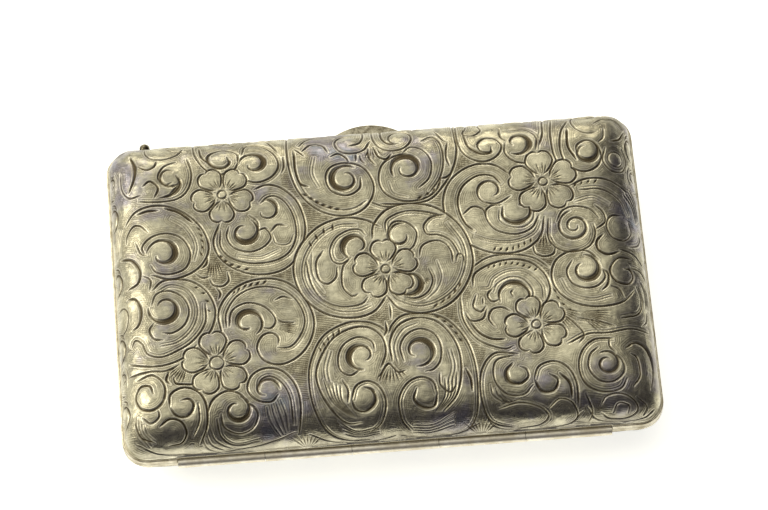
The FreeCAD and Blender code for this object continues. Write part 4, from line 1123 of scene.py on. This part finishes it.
def chased_silver(name, darker_by=0.0):
    """Old sterling, chased and never polished out. Sulphide stays black in every cut and well and brown
    beside them, a thin film of it turns the rest from warm grey to blue-grey in patches, and what stands
    proud is rubbed pale, with a painted highlight beside each cut and a painted reflection of the table low
    on the wall. Inside it is gilt. darker_by darkens the whole."""
    material, tree = blank(name)
    place = node(tree, "TexCoord").outputs["Object"]
    groove = node(tree, "Attribute", attribute_name="groove").outputs["Fac"]
    wear_and_painted_sheen = node(tree, "Attribute", attribute_name="rubbed_and_painted_sheen").outputs["Fac"]
    gilt = node(tree, "Attribute", attribute_name="gilt").outputs["Fac"]

    # patches 14 mm across, mottle 3 mm, grain 0.4 mm and speckle 0.6 mm
    patches, mottle, grain, speckle = [
        node(tree, "TexNoise", {
            "Vector": place,
            "Scale": noise_scale(size),
            "Detail": detail,
            "Roughness": rough,
        }).outputs["Fac"]
        for size, detail, rough in ((14, 2.0, 0.5), (3, 3.0, 0.6), (0.4, 2.0, 0.6), (0.6, 3.0, 0.7))
    ]

    # sulphide film, in patches with a mottle, and thicker over the shoulder
    shoulder = node(tree, "Attribute", attribute_name="shoulder").outputs["Fac"]
    blend = node(tree, "Mix", {"Factor": 0.35, 2: patches, 3: mottle})
    thickness = node(tree, "Math", {0: shoulder, 1: 0.05, 2: blend.outputs[0]}, operation="MULTIPLY_ADD")
    film = node(tree, "ValToRGB", {"Fac": thickness.outputs[0]})
    stops = film.color_ramp.elements
    stops[0].position = 0.36
    stops[0].color = linear("#CEC7AB")
    stops[1].position = 0.74
    stops[1].color = linear("#848C95")
    for thick, colour in ((0.47, "#BAB49A"), (0.56, "#A7A28D"), (0.65, "#969195")):
        stops.new(thick).color = linear(colour)

    # lighter and darker by the speckle and by wiping marks about 2.5 mm long and 0.5 mm wide
    wiping = (noise_scale(2.5), noise_scale(0.5), noise_scale(0.8))
    stretched = node(tree, "VectorMath", {0: place, 1: wiping}, operation="MULTIPLY")
    wiped = node(tree, "TexNoise", {"Vector": stretched.outputs[0], "Scale": 1.0, "Detail": 2.0})
    uneven = node(tree, "Math", {0: speckle, 1: wiped.outputs["Fac"]}, operation="ADD")
    shade = node(tree, "MapRange", {
        "Value": uneven.outputs[0],
        "From Min": 0.75,
        "From Max": 1.25,
        "To Min": 0.80,
        "To Max": 1.16,
    })
    uneven_film = node(tree, "VectorMath", {0: film.outputs["Color"], "Scale": shade.outputs[0]},
                       operation="SCALE")

    # painted sheen: what stands proud is rubbed pale, a band beside each cut is painted paler as a highlight,
    # and the lowest wall is painted pale as a reflection of the table
    sheen_share = node(tree, "MapRange", {
        "Value": wear_and_painted_sheen,
        "From Min": 0.1,
        "From Max": 0.8,
        "To Min": 0.0,
        "To Max": 0.75,
    })
    rubbed_and_painted_sheen = node(tree, "Mix", {
        "Factor": sheen_share.outputs[0],
        6: uneven_film.outputs[0],
        7: linear("#EDE7D2"),
    }, data_type="RGBA")

    # black in the cuts, brown beside them
    ragged = node(tree, "Math", {0: mottle, 1: 0.35}, operation="MULTIPLY")
    depth_of_dirt = node(tree, "Math", {0: groove, 1: ragged.outputs[0]}, operation="ADD")
    soiled = node(tree, "MapRange", {
        "Value": depth_of_dirt.outputs[0],
        "From Min": 0.20 - darker_by * 0.1,
        "From Max": 0.95 - darker_by * 0.2,
        "To Min": darker_by * 0.2,
        "To Max": 1.0,
    })
    dirty = node(tree, "Mix", {
        "Factor": soiled.outputs[0],
        6: rubbed_and_painted_sheen.outputs[2],
        7: linear("#544A37"),
    }, data_type="RGBA")

    # the gilt inside, thinner and paler in patches, and dulled by the cards
    gilding = node(tree, "Mix", {
        "Factor": blend.outputs[0],
        6: linear("#B99A5E"),
        7: linear("#D2C196"),
    }, data_type="RGBA")
    uneven_gilding = node(tree, "VectorMath", {0: gilding.outputs[2], "Scale": shade.outputs[0]},
                          operation="SCALE")
    colour = node(tree, "Mix", {
        "Factor": gilt,
        6: dirty.outputs[2],
        7: uneven_gilding.outputs[0],
    }, data_type="RGBA")

    # a soft satin gloss, duller in the dirt, with a bump of 0.04 mm from the speckle and grain
    satin = node(tree, "MapRange", {
        "Value": grain,
        "From Min": 0.3,
        "From Max": 0.7,
        "To Min": 0.25,
        "To Max": 0.36,
    })
    dull = node(tree, "Math", {0: soiled.outputs[0], 1: 0.22, 2: satin.outputs[0]}, operation="MULTIPLY_ADD")
    fine = node(tree, "Math", {0: uneven.outputs[0], 1: grain}, operation="ADD")
    bump = node(tree, "Bump", {"Height": fine.outputs[0], "Strength": 0.28, "Distance": 0.04 * mm})
    surface = node(tree, "BsdfPrincipled", {
        "Base Color": colour.outputs[2],
        "Metallic": 1.0,
        "Roughness": dull.outputs[0],
        "Normal": bump.outputs[0],
    })
    node(tree, "OutputMaterial", {"Surface": surface.outputs[0]})
    return material


def place_pan(pan, body, solid):
    """Sets a finished pan on its body in place of its plain solid."""
    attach(pan, body)
    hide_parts(solid)


lid_pan.data.materials.append(chased_silver("chased_tarnished_silver_lid"))
# the base's copy of the finish is drawn darker throughout than the lid's
base_pan.data.materials.append(chased_silver("chased_tarnished_silver_base", 0.3))
place_pan(lid_pan, "lid", "lid_shell")
place_pan(base_pan, "base", "base_shell")


# ---------------------------------------------------------------- mouth wires
# Half-round silver wire soldered round the mouth of each pan and broken at the hinge, worn smooth by the hand
# and dark in its solder line.
def worn_metal(name, pale, dark, size=2, dull=0.42, bright=0.26):
    """Plain metal wire, tube or sheet, worn to a soft shine over its tarnish, in patches about size mm
    across. dull and bright are how rough the dark and the pale places are."""
    material, tree = blank(name)
    place = node(tree, "TexCoord").outputs["Object"]
    tarnish = node(tree, "TexNoise", {
        "Vector": place,
        "Scale": noise_scale(size),
        "Detail": 4.0,
        "Roughness": 0.65,
    })
    grain = node(tree, "TexNoise", {"Vector": place, "Scale": noise_scale(0.3), "Detail": 2.0})
    worn = node(tree, "MapRange", {"Value": tarnish.outputs["Fac"], "From Min": 0.38, "From Max": 0.62})
    tone = node(tree, "Mix", {"Factor": worn.outputs[0], 6: linear(dark), 7: linear(pale)}, data_type="RGBA")
    gloss = node(tree, "MapRange", {
        "Value": tarnish.outputs["Fac"],
        "From Min": 0.3,
        "From Max": 0.7,
        "To Min": dull,
        "To Max": bright,
    })
    bump = node(tree, "Bump", {"Height": grain.outputs["Fac"], "Strength": 0.15, "Distance": 0.03 * mm})
    surface = node(tree, "BsdfPrincipled", {
        "Base Color": tone.outputs[2],
        "Metallic": 1.0,
        "Roughness": gloss.outputs[0],
        "Normal": bump.outputs[0],
    })
    node(tree, "OutputMaterial", {"Surface": surface.outputs[0]})
    return material


def finish_nodes(material, *names):
    """Gives solids their real finish."""
    for name in names:
        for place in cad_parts[name].material_slots:
            place.material = material


# a pale soft line with greyer stretches
finish_nodes(worn_metal("drawn_silver_wire", "#DAD2BB", "#AAA085"), "lid_mouth_wire", "base_mouth_wire")


# ---------------------------------------------------------------- hinge
# Five lengths of drawn silver tube, soldered in turn to the bearers of lid and base, turn on a steel pin. A
# silver plug closes each end. The tube and bearers are matt and painted paler than the other silver: partly
# their own clean silver, partly a painted reflection of the bright table that lightens them where they lie in
# shade.
finish_nodes(
    worn_metal("drawn_silver_tube_painted_pale", "#F4EEDD", "#D8CFB8", 3, 0.50, 0.38),
    "lid_knuckle_1", "base_knuckle_2", "lid_knuckle_3", "base_knuckle_4", "lid_knuckle_5",
    "lid_hinge_bearer", "base_hinge_bearer", "hinge_plug_left", "hinge_plug_right",
)
# the pin is bare steel wire: a dull mid grey
steel_wire = worn_metal("drawn_steel_pin", "#8E8D88", "#55534E", 1)
finish_nodes(steel_wire, "hinge_pin")


# ---------------------------------------------------------------- inner lip
# A thin strip of gilt silver in two lengths, soldered inside the base's wall on either side of the catch. The
# lid closes over it. Cards have rubbed the gilding to a pale warm yellow.
gilt_silver = worn_metal("gilt_silver", "#D9C48F", "#B39A62", 4)
finish_nodes(gilt_silver, "inner_lip_left", "inner_lip_right")


# ---------------------------------------------------------------- catch
# A silver push-piece slides through the base's wall and carries a bar whose tooth holds the lid's hook. When
# it is pushed in, it lets the hook go, and a flat spring riveted to two soldered posts brings it back.
# The push-piece is worn dark and smooth by the thumb, and what is inside was only filed, to a duller grey.
finish_nodes(worn_metal("worn_silver_push_piece", "#B9B29B", "#6B6350", 1.2), "push_piece")
finish_nodes(
    worn_metal("filed_silver", "#BEB69C", "#6E664F"),
    "catch_bar", "lid_catch_plate", "catch_spring_posts", "catch_spring_rivets",
)


# ---------------------------------------------------------------- chain lug
# A small ball cast with its foot in silver and soldered to the base's wall, near the corner by the
# push-piece. Nobody polishes it, so it is nearly black in patches.
finish_nodes(worn_metal("cast_silver_lug", "#8F886F", "#3B352A", 0.8), "chain_lug")


# ---------------------------------------------------------------- catch spring
# A leaf of steel, blued by tempering to a dark slate colour. Each half is held at its post and bends towards
# the push-piece in the middle.
blued_steel = worn_metal("blued_spring_steel", "#6E737C", "#3C4048", 1.2)
leaf_low, leaf_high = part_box("catch_spring")
leaf_bays = 14


def spring_piece(name, shape):
    """A piece of spring steel from its finished shape."""
    mesh = bpy.data.meshes.new(name)
    shape.to_mesh(mesh)
    shape.free()
    mesh.materials.append(blued_steel)
    piece = bpy.data.objects.new(name, mesh)
    bpy.context.collection.objects.link(piece)
    return piece


def cut_across(shape, x, **how):
    """Cuts a shape across at x, and gives what the cut made."""
    everything = shape.verts[:] + shape.edges[:] + shape.faces[:]
    return bmesh.ops.bisect_plane(shape, geom=everything, plane_co=(x, 0, 0), **how)["geom_cut"]


for side, word in ((-1, "left"), (1, "right")):
    end = leaf_high.x * side
    shape = bmesh.new()
    shape.from_mesh(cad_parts["catch_spring"].data)
    made = cut_across(shape, 0, plane_no=(-side, 0, 0), clear_outer=True)
    bmesh.ops.holes_fill(shape, edges=[e for e in made if isinstance(e, bmesh.types.BMEdge)])
    for x in np.linspace(0, end, leaf_bays + 1)[1:-1]:
        cut_across(shape, x, plane_no=(1, 0, 0))
    half = spring_piece("catch_spring_" + word, shape)
    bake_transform(half)
    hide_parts("catch_spring")


# ---------------------------------------------------------------- card retainer
# A flat gilt frame lies on the cards. It turns on a steel rod held by two gilt eyes beside the hinge, and two
# coiled springs on the rod lift it when the lid opens.
finish_nodes(gilt_silver, "card_retainer", "retainer_eyes")
finish_nodes(steel_wire, "retainer_rod")
for side, word in ((-1, "left"), (1, "right")):
    shape = bmesh.new()
    shape.from_mesh(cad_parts["retainer_springs"].data)
    bmesh.ops.delete(shape, geom=[v for v in shape.verts if not v.co.x * side > 0], context="VERTS")
    coil = spring_piece("retainer_spring_" + word, shape)
    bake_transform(coil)
    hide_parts("retainer_springs")
